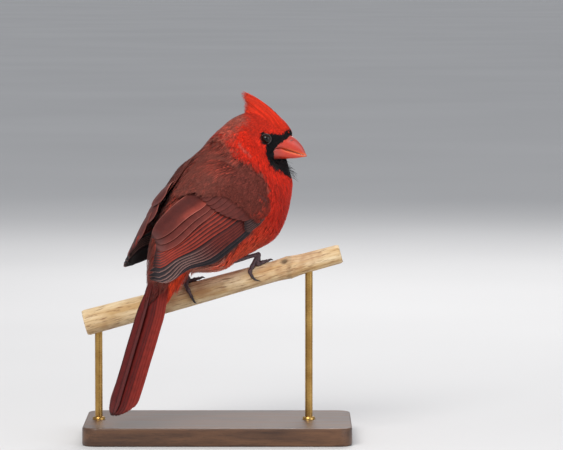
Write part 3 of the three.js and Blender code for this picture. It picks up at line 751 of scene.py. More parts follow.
def wrapped(rings: int, around: int, shape: Callable[[int, int], Array]) -> BMesh:
    """A closed skin: a grid bent round until its sides meet, with any open ends filled.

    Args:
        rings: How many steps there are from one end to the other.
        around: How many steps there are round it.
        shape: Gives the place of ring i and step j, in metres.

    Returns:
        The mesh, with its seams merged.
    """
    bm = bmesh.new()
    bmesh.ops.create_grid(bm, x_segments=around, y_segments=rings, size=1.0)
    for vert in bm.verts:
        j = round((vert.co.x + 1) / 2 * around)
        i = round((vert.co.y + 1) / 2 * rings)
        vert.co = shape(i, j)
    bmesh.ops.remove_doubles(bm, verts=bm.verts, dist=1e-6)
    open_edges = [edge for edge in bm.edges if edge.is_boundary]
    bmesh.ops.holes_fill(bm, edges=open_edges, sides=0)
    return bm


def register(piece: Object, slot: str, *nodes: str) -> None:
    """Lets a piece ride with the bird and hides the nodes that it stands for."""
    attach(piece, "root")
    if nodes:
        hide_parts(*nodes)
    LOG.info("%s: %d faces", piece.name, len(piece.data.polygons))


# Markings


@dataclass(frozen=True)
class Tones:
    """The plumage's colours, on a scale of 0 to 255."""

    crest: Rgb = (206, 42, 16)
    crest_tip: Rgb = (226, 76, 52)
    crown: Rgb = (192, 34, 9)
    cheek: Rgb = (216, 36, 12)
    collar: Rgb = (232, 40, 12)
    nape: Rgb = (158, 78, 62)
    crease: Rgb = (176, 120, 108)
    mantle: Rgb = (120, 41, 29)
    mantle_fringe: Rgb = (142, 92, 82)
    side: Rgb = (108, 47, 37)
    breast: Rgb = (212, 40, 21)
    flank: Rgb = (220, 64, 38)
    belly: Rgb = (238, 92, 60)
    vent: Rgb = (238, 166, 144)
    undertail: Rgb = (232, 70, 34)
    rump: Rgb = (106, 37, 29)
    mask: Rgb = (13, 10, 14)
    down: Rgb = (92, 66, 64)


@dataclass(frozen=True)
class Markings:
    """Where the plumage changes colour, the same on coat and skin.

    mask and crease are [u, z] on the side of the head. brown_ends is the t up to which the back
    is brown, at each of brown_angles in degrees from the middle of the back.
    """

    tones: Tones = Tones()
    mask: Corners = (
        (50.1, 201.6), (48.8, 203.8), (46.9, 203.6), (44.8, 202.6), (43.2, 201.0), (39.7, 200.7),
        (36.4, 200.6), (33.0, 201.4), (29.4, 201.5), (27.3, 201.2), (26.8, 197.4), (27.9, 195.3),
        (30.3, 193.3), (30.7, 191.6), (31.4, 189.0), (29.4, 187.8), (28.0, 184.8), (27.4, 182.6),
        (26.7, 180.5), (28.3, 177.7), (38.1, 174.2), (49.0, 170.5), (56, 170), (60, 190), (58, 199),
    )
    crease: Corners = ((5.6, 199.3), (4.9, 191.1), (9.6, 186.6))
    brown_angles: tuple[float, ...] = (0, 27, 52, 79, 92, 102, 113, 128, 150, 180)
    brown_ends: tuple[float, ...] = (8.2, 8.0, 7.1, 7.3, 6.9, 6.2, 4.9, 2.4, 0.4, -2)
    mask_from: float = 7.9
    ragged: float = 0.35
    vent_share: float = 0.9
    nape_share: float = 0.8
    crease_share: float = 0.4
    fringe: float = 0.1
    brown_fringe: float = 0.6
    uneven: float = 0.1
    brown_uneven: float = 0.18

    def colours(self, t: Array, theta: Array, rng: Generator) -> tuple[Array, Array]:
        """The plumage's colour and how grey its fringes are.

        Args:
            t: Sections of the coat.
            theta: Angles round it.
            rng: Source of the small differences between feathers.

        Returns:
            Linear colours, and the fringe's share from 0 to 1.
        """
        u, _, z, _ = COAT.local(t, theta)
        angle = np.abs(np.degrees(theta))
        jitter = rng.normal(0, 1, t.shape)
        colour = np.tile(linear(self.tones.breast), (*t.shape, 1))
        fringe = np.full(t.shape, self.fringe)

        def lay(tone: Rgb, share: Array) -> None:
            colour[:] = mix(colour, linear(tone), share[..., None])

        lay(self.tones.flank, smooth(6.5, 4.5, t + 0.2 * jitter) * smooth(140, 118, angle))
        lay(self.tones.belly, smooth(6.2, 4.2, t + 0.2 * jitter) * smooth(112, 140, angle))
        vent = smooth(3.1, 2.3, t + 0.3 * jitter) * smooth(110, 128, angle) * smooth(1.0, 1.6, t)
        lay(self.tones.vent, self.vent_share * vent)
        lay(self.tones.undertail, smooth(1.9, 1.2, t) * smooth(76, 92, angle))
        edge = np.interp(angle, self.brown_angles, self.brown_ends)
        edge = edge + (0.14 + 0.16 * smooth(80, 60, angle)) * jitter
        brown = smooth(0.3, -0.3, t - edge) * (1 - smooth(2.6, 1.9, t) * smooth(80, 92, angle))
        lay(self.tones.mantle, brown * smooth(95, 65, angle))
        lay(self.tones.side, brown * smooth(55, 80, angle))
        lay(self.tones.rump, smooth(2.4, 1.6, t) * smooth(90, 76, angle))
        fringe = np.maximum(fringe, self.brown_fringe * brown)
        head = smooth(8.3, 9.2, t + 0.15 * jitter)
        lay(self.tones.collar, smooth(7.3, 8.0, t + 0.15 * jitter) * (1 - brown) * smooth(160, 120, angle))
        lay(self.tones.cheek, head * smooth(50, 80, angle))
        lay(self.tones.crown, head * smooth(85, 55, angle) * smooth(8.8, 10.2, t))
        lay(self.tones.crest, smooth(11.5, 13.5, t) * smooth(80, 50, angle))
        nape = smooth(7.1, 8.6, t + 0.3 * jitter) * smooth(11.0, 10.1, t)
        nape = self.nape_share * nape * smooth(48, 26, angle + 4 * jitter)
        lay(self.tones.nape, nape)
        fringe = np.maximum(fringe, nape)
        away = off_line(u, z, self.crease)
        creased = smooth(1.5, 0.5, away + 0.3 * jitter) * (angle < 90)
        lay(self.tones.crease, self.crease_share * creased)
        ragged_z = z + self.ragged * rng.normal(0, 1, t.shape)
        masked = inside(u + self.ragged * jitter, ragged_z, self.mask) & (t > self.mask_from)
        colour[masked] = linear(self.tones.mask)
        fringe[masked] = 0.0
        colour *= np.exp((self.uneven + self.brown_uneven * brown) * jitter)[..., None]
        return colour, fringe


MARKINGS = Markings()


# Soft feathers


@dataclass(frozen=True)
class Barbs:
    """How one kind of soft feather is cut into barbs, as shares of its length and width."""

    count: int = 9
    stations: tuple[float, ...] = (0.0, 0.55)
    breadth: float = 0.62
    thickness: float = 0.1
    fan: float = 0.3
    fray: float = 0.06

    def cut(self) -> tuple[Array, ...]:
        """The pattern of one feather.

        Returns:
            Along, barb number, side step, ridge and triangles, for its corners.
        """
        along, barb, step, ridge, faces = [], [], [], [], []
        for b in range(self.count):
            start = len(along)
            for k, s in enumerate(self.stations):
                thin = 0.7 if k == 0 else 1.0
                along += [s, s, s]
                step += [-0.5 * thin, 0.5 * thin, 0.0]
                ridge += [0.0, 0.0, 1.0]
                for m in range(3 if k else 0):
                    a = start + 3 * (k - 1) + m
                    c = start + 3 * (k - 1) + (m + 1) % 3
                    faces += [(a, a + 3, c), (c, a + 3, c + 3)]
            tip = len(along)
            along.append(1.0)
            step.append(0.0)
            ridge.append(0.3)
            barb += [b] * (tip + 1 - start)
            faces += [(tip - 3 + m, tip, tip - 3 + (m + 1) % 3) for m in range(3)]
            faces.append((start, start + 1, start + 2))
        return tuple(np.array(x) for x in (along, barb, step, ridge, faces))


class Tufts:
    """Soft feathers of one kind, each a fan of barbs from one root."""

    overlap: float = 0.04
    dome: tuple[float, float] = (0.42, 0.22)

    def __init__(self, barbs: Barbs, length: Array, width: Array, rng: Generator) -> None:
        """Draws the feathers flat: along, across and up from the root, in millimetres."""
        along, barb, step, ridge, self.faces = barbs.cut()
        each = (len(length), barbs.count)
        edge = (2 * barb / (barbs.count - 1) - 1) if barbs.count > 1 else 0.0 * barb
        stray = rng.normal(0, barbs.fray, each)[:, barb]
        short = 1 - barbs.fan * edge**2 - np.abs(rng.normal(0, 0.5 * barbs.fray, each))[:, barb]
        spread = np.sin(np.minimum(along * 1.15, 1.0) * math.pi / 2) ** 0.8
        self.along = along * short * length[:, None]
        wide = width / barbs.count * 2 * barbs.breadth
        self.across = (edge + stray * along) * spread * width[:, None] / 2 + step * wide[:, None]
        self.rise = ridge * barbs.thickness + 0.0 * self.along + (barb % 2) * self.overlap
        self.share = np.broadcast_to(along, self.along.shape)
        self.edge = np.broadcast_to(edge, self.along.shape)
        self.streak = rng.normal(0, 1, each)[:, barb]

    def laid(self, form: Form, lie: dict, t: Array, theta: Array, yaw: Array, swell: Array) -> Array:
        """Lays the feathers on a form.

        Args:
            form: The form.
            lie: The form's grain at the roots.
            t: The roots' sections.
            theta: Their angles.
            yaw: How far each feather is turned in its place.
            swell: The height of the feathers' corners over the form.

        Returns:
            The corners in metres, one feather a row.
        """
        yaw = yaw[:, None]
        a = self.along * np.cos(yaw) - self.across * np.sin(yaw)
        b = self.across * np.cos(yaw) + self.along * np.sin(yaw)
        at_t = t[:, None] + lie["along_t"][:, None] * a + lie["across_t"][:, None] * b
        return form.point(at_t, theta[:, None] + lie["across_theta"][:, None] * b, swell)

    def rim(self, start: float, sides: float) -> Array:
        """The share of a feather's fringe, from its start along and from its sides."""
        share = self.share[..., None]
        rim = smooth(start, 1.0, share) + 0.5 * smooth(sides, 1.0, np.abs(self.edge))[..., None] * share
        return np.clip(rim, 0, 1)

    def shade(
        self, piece: Object, normal: Array, along: Array, across: Array, kept: slice | Array = slice(None)
    ) -> None:
        """Lights the kept feathers as one soft surface, a little domed each."""
        dome = self.dome[0] * self.edge[..., None] * across[:, None]
        dome = dome + self.dome[1] * self.share[..., None] * along[:, None]
        shaded = unit(normal[:, None] + dome)[kept]
        piece.data.normals_split_custom_set_from_vertices(shaded.reshape(-1, 3))

    def piece(self, name: str, points: Array, colours: Array, root: Array, finish: Material) -> Object:
        """Joins feathers into one object, each turned the right way out.

        Args:
            name: The piece's name.
            points: The feathers' corners in metres, one feather a row.
            colours: Linear colours of the same corners.
            root: The map's place of each feather's root.
            finish: The piece's finish.

        Returns:
            The object, with its colours and its map.
        """
        number, size = points.shape[:2]
        a, b, c = (points[:, self.faces[:, k]] - points[:, :1] for k in range(3))
        inverted = (a * np.cross(b, c)).sum((1, 2)) < 0
        faces = np.where(inverted[:, None, None], self.faces[:, ::-1], self.faces)
        faces = (faces + size * np.arange(number)[:, None, None]).reshape(-1, 3)
        piece = mesh_piece(name, points.reshape(-1, 3), faces, finish)
        paint(piece, "plumage", colours.reshape(-1, 3))
        offset = np.stack([0.5 * self.edge[0], self.share[0] - 0.5], -1) * PATCH
        bake_map(piece, (root[:, None] + offset).reshape(-1, 2))
        return piece


@dataclass(frozen=True)
class CoatRow:
    """The body feathers' sizes at one section of the coat, in millimetres.

    apart is the least gap between their roots and depth how deep the roots stand.
    """

    t: float
    length: float
    width: float
    apart: float
    depth: float


@dataclass(frozen=True)
class BodyCoat:
    """The skin and the small feathers over torso, neck and head."""

    rows: tuple[CoatRow, ...] = (
        CoatRow(-0.5, 11, 4.6, 2.2, 2.2),
        CoatRow(1.5, 11, 4.8, 2.2, 2.6),
        CoatRow(4.0, 10, 4.8, 2.05, 2.8),
        CoatRow(7.0, 8.5, 4.2, 1.8, 2.5),
        CoatRow(8.5, 7.0, 3.3, 1.45, 2.0),
        CoatRow(10.0, 5.0, 2.2, 1.0, 1.4),
        CoatRow(12.0, 3.6, 1.6, 0.8, 0.9),
        CoatRow(14.0, 2.8, 1.3, 0.68, 0.7),
        CoatRow(16.0, 2.4, 1.1, 0.6, 0.6),
    )
    eye_clear: float = 3.65
    fluff: float = 3.2
    slim: float = 0.62
    # The skin shows only in the gaps of the coat; its colour is the coat's times this, as painted shade.
    skin_shade: float = 0.65
    body_barbs: Barbs = Barbs(11, (0.0, 0.55), 0.56, 0.12, 0.3, 0.07)
    face_barbs: Barbs = Barbs(6, (0.0, 0.5), 0.7, 0.07, 0.25, 0.08)
    candidates: int = 70000
    cell: float = 1.2
    rings: int = 110
    around: int = 72
    ends: tuple[float, float] = (-0.6, 16.0)
    face_from: float = 10.2
    neck_from: float = 8.0
    breast_from: float = 5.0
    back_to: float = 60.0

    def at(self, t: Value, name: str) -> Array:
        """A size of the rows at t."""
        return np.interp(t, [row.t for row in self.rows], [getattr(row, name) for row in self.rows])

    def skin(self, material: Material) -> None:
        """One closed skin from the tail's root to the bill, inside the coat by its depth."""

        def shape(i: int, j: int) -> Array:
            t = np.array(mix(*self.ends, i / self.rings))
            return COAT.point(t, np.array(step_round(j, self.around)), -self.at(t, "depth"))

        piece = from_bmesh("skin", wrapped(self.rings, self.around, shape), material)
        t, theta, colour = self.skin_paint(piece)
        paint(piece, "plumage", colour)
        bake_map(piece, self.unwrap(t, theta))
        register(piece, "coat", "torso", "neck")

    def skin_paint(self, piece: Object) -> tuple[Array, Array, Array]:
        """Finds t and theta of each corner of the skin, and its colour: the coat's, darkened as painted
        shade deep in the coat.
        """
        t_grid = np.linspace(*self.ends, self.rings + 1)
        theta_grid = np.linspace(0, TURN, self.around, endpoint=False)
        t, theta = (a.ravel() for a in np.meshgrid(t_grid, theta_grid, indexing="ij"))
        theta = np.where(theta > math.pi, theta - TURN, theta)
        places = COAT.point(t, theta, -self.at(t, "depth"))
        index = [int(((places - p) ** 2).sum(-1).argmin()) for p in corners(piece)]
        colour, _ = MARKINGS.colours(t, theta, default_rng(SEED))
        return t[index], theta[index], self.skin_shade * colour[index]

    @staticmethod
    def unwrap(t: Array, theta: Array) -> Array:
        """The skin's own unwrap: round it across the map and along it up the map."""
        return MARGIN + (1 - 2 * MARGIN) * np.stack([theta / TURN + 0.5, (t + 1) / 17.5], -1)

    def roots(self, rng: Generator) -> tuple[Array, Array]:
        """Spreads the roots over the skin, as far apart as the rows say."""
        t = rng.uniform(self.ends[0], self.ends[1] - 0.1, 6 * self.candidates)
        theta = rng.uniform(-math.pi, math.pi, t.size)
        step = 0.03
        by_t = COAT.point(t + step, theta) - COAT.point(t - step, theta)
        by_theta = COAT.point(t, theta + step) - COAT.point(t, theta - step)
        area = np.linalg.norm(np.cross(by_t, by_theta), axis=-1) / (2 * step * MM) ** 2
        weight = area / self.at(t, "apart") ** 2
        kept = rng.choice(t.size, self.candidates, replace=False, p=weight / weight.sum())
        t, theta = t[kept], theta[kept]
        places = COAT.point(t, theta) / MM
        apart = self.at(t, "apart")
        cells: dict[tuple[int, ...], list[tuple[float, ...]]] = {}
        chosen = []
        for k, point in enumerate(map(tuple, places.tolist())):
            cell = tuple(int(c // self.cell) for c in point)
            if not self.crowded(cells, point, cell, float(apart[k])):
                cells.setdefault(cell, []).append(point)
                chosen.append(k)
        return t[chosen], theta[chosen]

    def crowded(self, cells: dict, point: tuple, cell: tuple, gap: float) -> bool:
        """Whether a root already stands within the gap."""
        reach = int(gap / self.cell) + 1
        x, y, z = point
        for near in product(*(range(c - reach, c + reach + 1) for c in cell)):
            for a, b, c in cells.get(near, ()):
                if (a - x) ** 2 + (b - y) ** 2 + (c - z) ** 2 < gap * gap:
                    return True
        return False

    def covered(self, t: Array, theta: Array) -> Array:
        """Roots that the folded wings or the bill leave no room for."""
        u, _, z, _ = COAT.local(t, theta)
        angle = np.abs(np.degrees(theta))
        under_wing = (t > 1.6) & (t < 5.6) & (angle > 38) & (angle < 98)
        in_bill = inside(u, z, BILL_EDGE.line) & (t > 9)
        return under_wing | in_bill

    def build(self, finish: Material) -> None:
        """Makes the skin and every piece of the coat."""
        rng = default_rng(SEED)
        self.skin(finish)
        t, theta = self.roots(rng)
        keep = ~self.covered(t, theta)
        t, theta = t[keep], theta[keep]
        angle = np.degrees(theta)
        face = t > self.face_from
        body = t <= self.neck_from
        breast = body & (t > self.breast_from)
        regions = {
            "coat_face_right": face & (theta > 0),
            "coat_face_left": face & (theta <= 0),
            "coat_neck": ~face & ~body,
            "coat_back": body & (np.abs(angle) < self.back_to),
            "coat_breast_right": breast & (angle >= self.back_to),
            "coat_breast_left": breast & (angle <= -self.back_to),
            "coat_belly": (t <= self.breast_from) & (np.abs(angle) >= self.back_to),
        }
        for name, region in regions.items():
            barbs = self.face_barbs if "face" in name else self.body_barbs
            piece = self.piece(name, t[region], theta[region], barbs, finish, rng)
            register(piece, "crest" if "face" in name else "coat")

    def piece(
        self, name: str, t: Array, theta: Array, barbs: Barbs, finish: Material, rng: Generator
    ) -> Object:
        """One piece of the coat, with its colours, its map and its soft shading."""
        number = len(t)
        angle = np.abs(np.degrees(theta))
        lie = COAT.grain(t, theta)
        loose = np.clip((6.0 - t) / 5.0, 0.0, 1.0)[:, None]
        fluff = smooth(3.6, 2.8, t) * smooth(0.9, 1.7, t) * smooth(112, 138, angle)
        length = self.at(t, "length") * rng.normal(1, 0.1, number) * (1 + 0.4 * fluff)
        length = np.minimum(length, self.to_eye(t, theta))
        width = self.at(t, "width") * rng.normal(1, 0.08, number)
        slim = smooth(7.9, 6.9, t) * smooth(1.8, 2.8, t) * smooth(72, 58, angle)
        tufts = Tufts(barbs, length, width * mix(1.0, self.slim, slim), rng)
        yaw = np.radians(rng.normal(0, 6, number))
        depth = self.at(t, "depth")[:, None]
        lift = np.abs(rng.normal(0.1, 0.12, number))[:, None] * mix(1.0, 2.2, loose)
        raised = self.fluff * fluff * rng.uniform(0.2, 1.1, number)
        lift = lift * np.minimum(depth / 2.0, 1.0) + raised[:, None]
        swell = -depth * (1 - tufts.share) ** 1.6 + lift * tufts.share + tufts.rise
        points = tufts.laid(COAT, lie, t, theta, yaw, swell)
        colours = self.colours(tufts, lie, t, theta, length, rng)
        keep = self.eye_free(points, 0.93 * self.eye_clear)
        piece = tufts.piece(name, points[keep], colours[keep], self.unwrap(t, theta)[keep], finish)
        tufts.shade(piece, lie["normal"], lie["along"], lie["across"], keep)
        return piece

    def colours(
        self, tufts: Tufts, lie: dict, t: Array, theta: Array, length: Array, rng: Generator
    ) -> Array:
        """Each feather's colour: dark at its root (partly grey down, partly painted shade under the
        feathers over it), its own colour further out, and its fringe.
        """
        shown_t = t + lie["along_t"] * 0.75 * length
        tone, fringe = MARKINGS.colours(shown_t, theta, rng)
        root = linear(MARKINGS.tones.down)
        s = tufts.share[..., None]
        dark = mix(0.5 * tone[:, None] + 0.1 * root, tone[:, None], smooth(0.15, 0.6, s))
        dark = dark * np.exp((0.12 + 0.5 * fringe[:, None]) * tufts.streak)[..., None]
        grey = linear(MARKINGS.tones.mantle_fringe)
        return mix(dark, grey, tufts.rim(0.8, 0.7) * fringe[:, None, None])

    def to_eye(self, t: Array, theta: Array) -> Array:
        """The most length that a feather in front of the eye may have."""
        u, v, z, _ = COAT.local(t, theta)
        away = np.hypot(u - EYE.u, z - EYE.z) - self.eye_clear
        near = (t > 9.0) & (np.abs(v) > 4) & (away < 4) & (u > EYE.u - 1)
        return np.where(near, np.maximum(away * 0.95, 1.3), FAR)

    @staticmethod
    def eye_free(points: Array, clear: float) -> Array:
        """Which feathers leave the eyes clear."""
        free = np.ones(len(points), bool)
        for side in Side:
            height, flat = EYE.off_axis(side, points)
            blocks = (flat < clear * MM) & (height > 0)
            free &= ~blocks.any(-1)
        return free


@dataclass(frozen=True)
class Eye:
    """An eye's place and size in the head's own frame, in millimetres."""

    u: float = 32.7
    v: float = 7.3
    z: float = 197.4
    radius: float = 3.6
    lid: float = 3.35
    lid_tube: float = 0.3
    back: float = 0.08
    pupil: Rgb = (4, 3, 4)
    iris: Rgb = (34, 18, 13)
    around: int = 56
    sides: int = 10

    def centre(self, side: Side) -> Array:
        """The middle of the ball, in metres."""
        return STANCE.place(self.u, side.value * self.v, self.z, 1.0)

    def outward(self, side: Side) -> Array:
        """The direction that the eye looks in, a little to the back."""
        ahead = STANCE.place(self.u - self.back, side.value * (self.v + 1), self.z, 1.0)
        return unit(ahead - self.centre(side))

    def off_axis(self, side: Side, points: Array) -> tuple[Array, Array]:
        """How far points lie out along the eye's axis and away from it, in metres."""
        offset = points - self.centre(side)
        height = (offset * self.outward(side)).sum(-1)
        return height, np.linalg.norm(offset - height[..., None] * self.outward(side), axis=-1)

    def build(self, side: Side, wet: Material, lid: Material) -> None:
        """Makes the ball with its pupil and iris, and the ring of the lids."""
        name = side.name.lower()
        outward = Vector(self.outward(side))
        turn = Vector((0, 0, 1)).rotation_difference(outward).to_matrix()
        bm = bmesh.new()
        bmesh.ops.create_uvsphere(bm, u_segments=48, v_segments=32, radius=self.radius * MM)
        for vert in bm.verts:
            vert.co = turn @ vert.co + Vector(self.centre(side))
        ball = from_bmesh(f"eye_ball_{name}", bm, wet)
        _, flat = self.off_axis(side, corners(ball))
        iris = smooth(1.5, 1.7, flat / MM)[:, None]
        paint(ball, "paint", mix(linear(self.pupil), linear(self.iris), iris))
        register(ball, "eye", f"eye_{name}")
        self.ring(side, lid, turn)

    def ring(self, side: Side, lid: Material, turn: Matrix) -> None:
        """The bare, beaded rim of the lids."""
        height = math.sqrt(self.radius**2 - self.lid**2) + 0.15

        def shape(i: int, j: int) -> Array:
            a, b = step_round(i, self.around), step_round(j, self.sides)
            bead = self.lid_tube * (1 + 0.12 * math.sin(9 * a))
            r = self.lid + bead * math.cos(b)
            local = Vector((r * math.cos(a), r * math.sin(a), height + bead * math.sin(b)))
            return np.array(turn @ (local * MM)) + self.centre(side)

        bm = wrapped(self.around, self.sides, shape)
        register(from_bmesh(f"eye_lids_{side.name.lower()}", bm, lid), "leg")


EYE = Eye()


@dataclass(frozen=True)
class Crest:
    """The raised crest, feather by feather, from the forehead to the back of the crown.

    Its places are [u, z, v] until they are laid.
    """

    roots: Corners = ((48.2, 203), (45.4, 206.6), (41, 210), (35, 212.5), (24.5, 211))
    tips: Corners = ((35, 217.6), (26, 225), (15.2, 230.2), (17.0, 222.6), (17.8, 215.2))
    count: int = 520
    half_root: tuple[float, float] = (3.2, 6.4)
    half_tip: float = 1.1
    fall: tuple[float, float] = (1.4, 5.2)
    arch: float = 0.06
    width: float = 1.8
    barbs: Barbs = Barbs(8, (0.0, 0.25, 0.5, 0.78), 0.6, 0.07, 0.5, 0.05)

    def build(self, finish: Material) -> None:
        """Makes the crest as one piece."""
        rng = default_rng(SEED + 1)
        q = rng.uniform(0, 1, self.count)
        s = np.clip(rng.normal(0, 0.6, self.count), -1, 1)
        rear = smooth(0.05, 0.5, q)
        root = np.concatenate([along_line(self.roots, q), (s * mix(*self.half_root, rear))[:, None]], 1)
        root[:, 1] -= mix(*self.fall, rear) * s**2 + 0.8
        tip = np.concatenate([along_line(self.tips, q), (s * self.half_tip)[:, None]], 1)
        tip[:, 1] -= 2.2 * s**2 + np.abs(rng.normal(0, 0.5, self.count))
        tip = root + (tip - root) * (1 - np.abs(rng.normal(0, 0.05, self.count)))[:, None]
        width = self.width * rng.normal(1, 0.12, self.count)
        tufts = Tufts(self.barbs, np.linalg.norm(tip - root, axis=1), width, rng)
        points, normal, along, across = self.lay(tufts, root, tip, s)
        tone = linear(MARKINGS.tones.crest) * np.exp(0.16 * rng.normal(0, 1, self.count))[:, None]
        share = tufts.share[..., None]
        # Darker towards the root: partly the feathers' darker bases, partly painted shade under the
        # feathers over them.
        colour = tone[:, None] * mix(0.75, 1.0, smooth(0.0, 0.5, share))
        colour = mix(colour, linear(MARKINGS.tones.crest_tip), 0.75 * smooth(0.72, 1.0, share))
        on_map = BodyCoat.unwrap(mix(15.2, 10.4, q), 0.9 * s)
        piece = tufts.piece("crest", points, colour, on_map, finish)
        tufts.shade(piece, normal, along, across)
        register(piece, "crest", "head")

    def lay(self, tufts: Tufts, root: Array, tip: Array, s: Array) -> tuple[Array, ...]:
        """Bends the feathers along the crest's outline.

        Returns:
            Their corners, and each feather's normal, along and across directions.
        """
        run = tip - root
        length = np.linalg.norm(run, axis=1)
        up = unit(np.stack([run[:, 1], -run[:, 0], 0 * s], 1))
        aside = np.stack([0 * s, 0 * s, np.sign(s)], 1)
        normal = unit(up * (1 - np.abs(s))[:, None] + aside * (1.5 * np.abs(s))[:, None])
        across = unit(np.cross(unit(run), normal))
        x = tufts.along / length[:, None]
        bend = (self.arch * length)[:, None] * 4 * x * (1 - x)
        local = root[:, None] + run[:, None] * x[..., None] + bend[..., None] * up[:, None]
        local[..., 2] += 0.9 * s[:, None] * 4 * x * (1 - x)
        local = local + (tufts.across * mix(1.0, 0.55, x))[..., None] * across[:, None]
        local = local + tufts.rise[..., None] * normal[:, None]
        order = [0, 2, 1]
        zero = STANCE.place_head(np.zeros(3))
        directions = (normal, unit(run), across)
        turned = [unit(STANCE.place_head(d[:, order]) - zero) for d in directions]
        return STANCE.place_head(local[..., order]), *turned


@dataclass(frozen=True)
class Bill:
    """The deep seed-cracking bill, parted along the line of the mouth."""

    nostril: tuple[float, float] = (49.5, 196.0)
    palate: float = 0.35
    rings: int = 44
    arc: int = 18
    coral: Rgb = (200, 54, 32)
    rose: Rgb = (166, 68, 60)
    amber: Rgb = (228, 94, 30)
    recess_shade: Rgb = (84, 44, 44)

    def build(self, finish: Material) -> None:
        """Makes both halves."""
        for name, upper in (("bill_upper", True), ("bill_lower", False)):
            bm = wrapped(self.rings, 2 * self.arc, lambda i, j: self.ring(upper, i, j))
            piece = from_bmesh(f"{name}_horn", bm, finish)
            paint(piece, "paint", self.tint(corners(piece), upper))
            register(piece, "bill", name)

    def ring(self, upper: bool, i: int, j: int) -> Array:
        """One corner of a half of the bill: round the outside, then back along the mouth."""
        s = (i / self.rings) ** 0.85
        j = j % (2 * self.arc)
        u, v, z = BILL_SHAPE.surface(upper, s, math.pi * min(j, self.arc) / self.arc)
        if j > self.arc:
            share = (j - self.arc) / self.arc
            v = v * (1 - 2 * share)
            z = z + (self.palate if upper else -self.palate) * math.sin(math.pi * share)
        elif upper:
            pit = float(self.off_nostril(u, z))
            v = v * (1 - 0.14 * max(0.0, 1 - pit / 1.1))
        return STANCE.place(u, v, z, 1.0)

    def off_nostril(self, u: Value, z: Value) -> Value:
        """How far points lie from the nostril, which is longer than high."""
        return np.hypot(u - self.nostril[0], (z - self.nostril[1]) * 1.5)

    def tint(self, points: Array, upper: bool) -> Array:
        """Colours of the horn: rose at the root and ridge, amber along the cutting edge, and painted shade
        in the nostril and along the mouth's gap.
        """
        u, z = self.head_uz(points)
        ridge = np.interp(u, *zip(*BILL_SHAPE.culmen))
        from_mouth = np.abs(z - np.interp(u, *zip(*BILL_SHAPE.mouth)))
        colour = np.tile(linear(self.coral), (len(points), 1))

        def lay(tone: Rgb, share: Array) -> None:
            colour[:] = mix(colour, linear(tone), share[:, None])

        lay(self.rose, 0.8 * smooth(47.0, 37.0, u))
        if upper:
            lay(self.rose, 0.75 * smooth(5.0, 1.0, ridge - z))
            # Painted shade: dark in the nostril's pit.
            lay(self.recess_shade, 0.9 * smooth(1.0, 0.5, self.off_nostril(u, z)))
        lay(self.amber, 0.85 * smooth(1.9, 0.7, from_mouth) * smooth(42.0, 47.0, u))
        # Painted shade along the gap between the halves.
        lay(self.recess_shade, 0.7 * smooth(0.24, 0.1, from_mouth))
        return colour

    @staticmethod
    def head_uz(points: Array) -> tuple[Array, Array]:
        """u and z of points on the head, from the model's frame."""
        origin = STANCE.place_head(np.zeros(3))
        ahead = STANCE.place_head(np.array([1.0, 0.0, 0.0])) - origin
        return ((points - origin) @ ahead) / (ahead @ ahead), points[:, 2] / MM


@dataclass(frozen=True)
class Bristles:
    """Thin dark bristles at the corners of the mouth and in front of the bib."""

    count: int = 96
    width: float = 0.1
    barbs: Barbs = Barbs(1, (0.0, 0.35, 0.7), 0.5, 0.05, 0.0, 0.0)

    def build(self, finish: Material) -> None:
        """Makes them as one piece."""
        rng = default_rng(SEED + 2)
        side = np.where(np.arange(self.count) % 2 == 0, 1.0, -1.0)
        chin = rng.uniform(0, 1, self.count)
        root = np.stack([mix(40.0, 48.4, chin), side * mix(6.5, 1.5, chin), mix(184.5, 176.0, chin)], 1)
        root[:, 2] += rng.normal(0, 1.6, self.count)
        run = np.stack([mix(3.0, 4.6, chin), side * mix(2.2, 0.8, chin), mix(-1.0, -4.2, chin)], 1)
        run = run * rng.normal(1.2, 0.3, (self.count, 1)) + rng.normal(0, 0.6, (self.count, 3))
        tufts = Tufts(self.barbs, np.ones(self.count), np.full(self.count, self.width), rng)
        across = unit(np.cross(run, [0.0, 1.0, 0.4]))
        normal = unit(np.cross(across, run))
        x = tufts.along[..., None]
        local = root[:, None] + run[:, None] * x + normal[:, None] * (0.9 * x**2 + tufts.rise[..., None])
        local = local + across[:, None] * tufts.across[..., None]
        colours = np.broadcast_to(linear(MARKINGS.tones.mask), local.shape)
        on_map = BodyCoat.unwrap(mix(12.0, 9.0, chin), side * 2.8)
        register(tufts.piece("bristles", STANCE.place_head(local), colours, on_map, finish), "crest")


# Firm feathers


@dataclass(frozen=True)
class Blade:
    """A firm feather's own shape: its vanes' widths beside the shaft, in millimetres.

    camber is the radius of its curve from side to side and tilt how much its inner side sinks.
    root is its share of full width at the root, and tip the share of its length that is
    rounded off.
    """

    outer: float
    inner: float
    thickness: float = 0.16
    camber: float = 30.0
    tilt: float = 0.13
    root: float = 0.6
    tip: float = 0.12
    stations: int = 26
    columns: int = 8

    def profile(self, x: Array) -> Array:
        """The share of full width at shares x of the length, rounded off at the tip."""
        body = mix(self.root, 1.0, smooth(0.0, 0.3, x))
        end = np.clip((x - 1 + self.tip) / self.tip, 0, 1)
        return body * np.sqrt(np.maximum(1 - end**2, 0.0004))


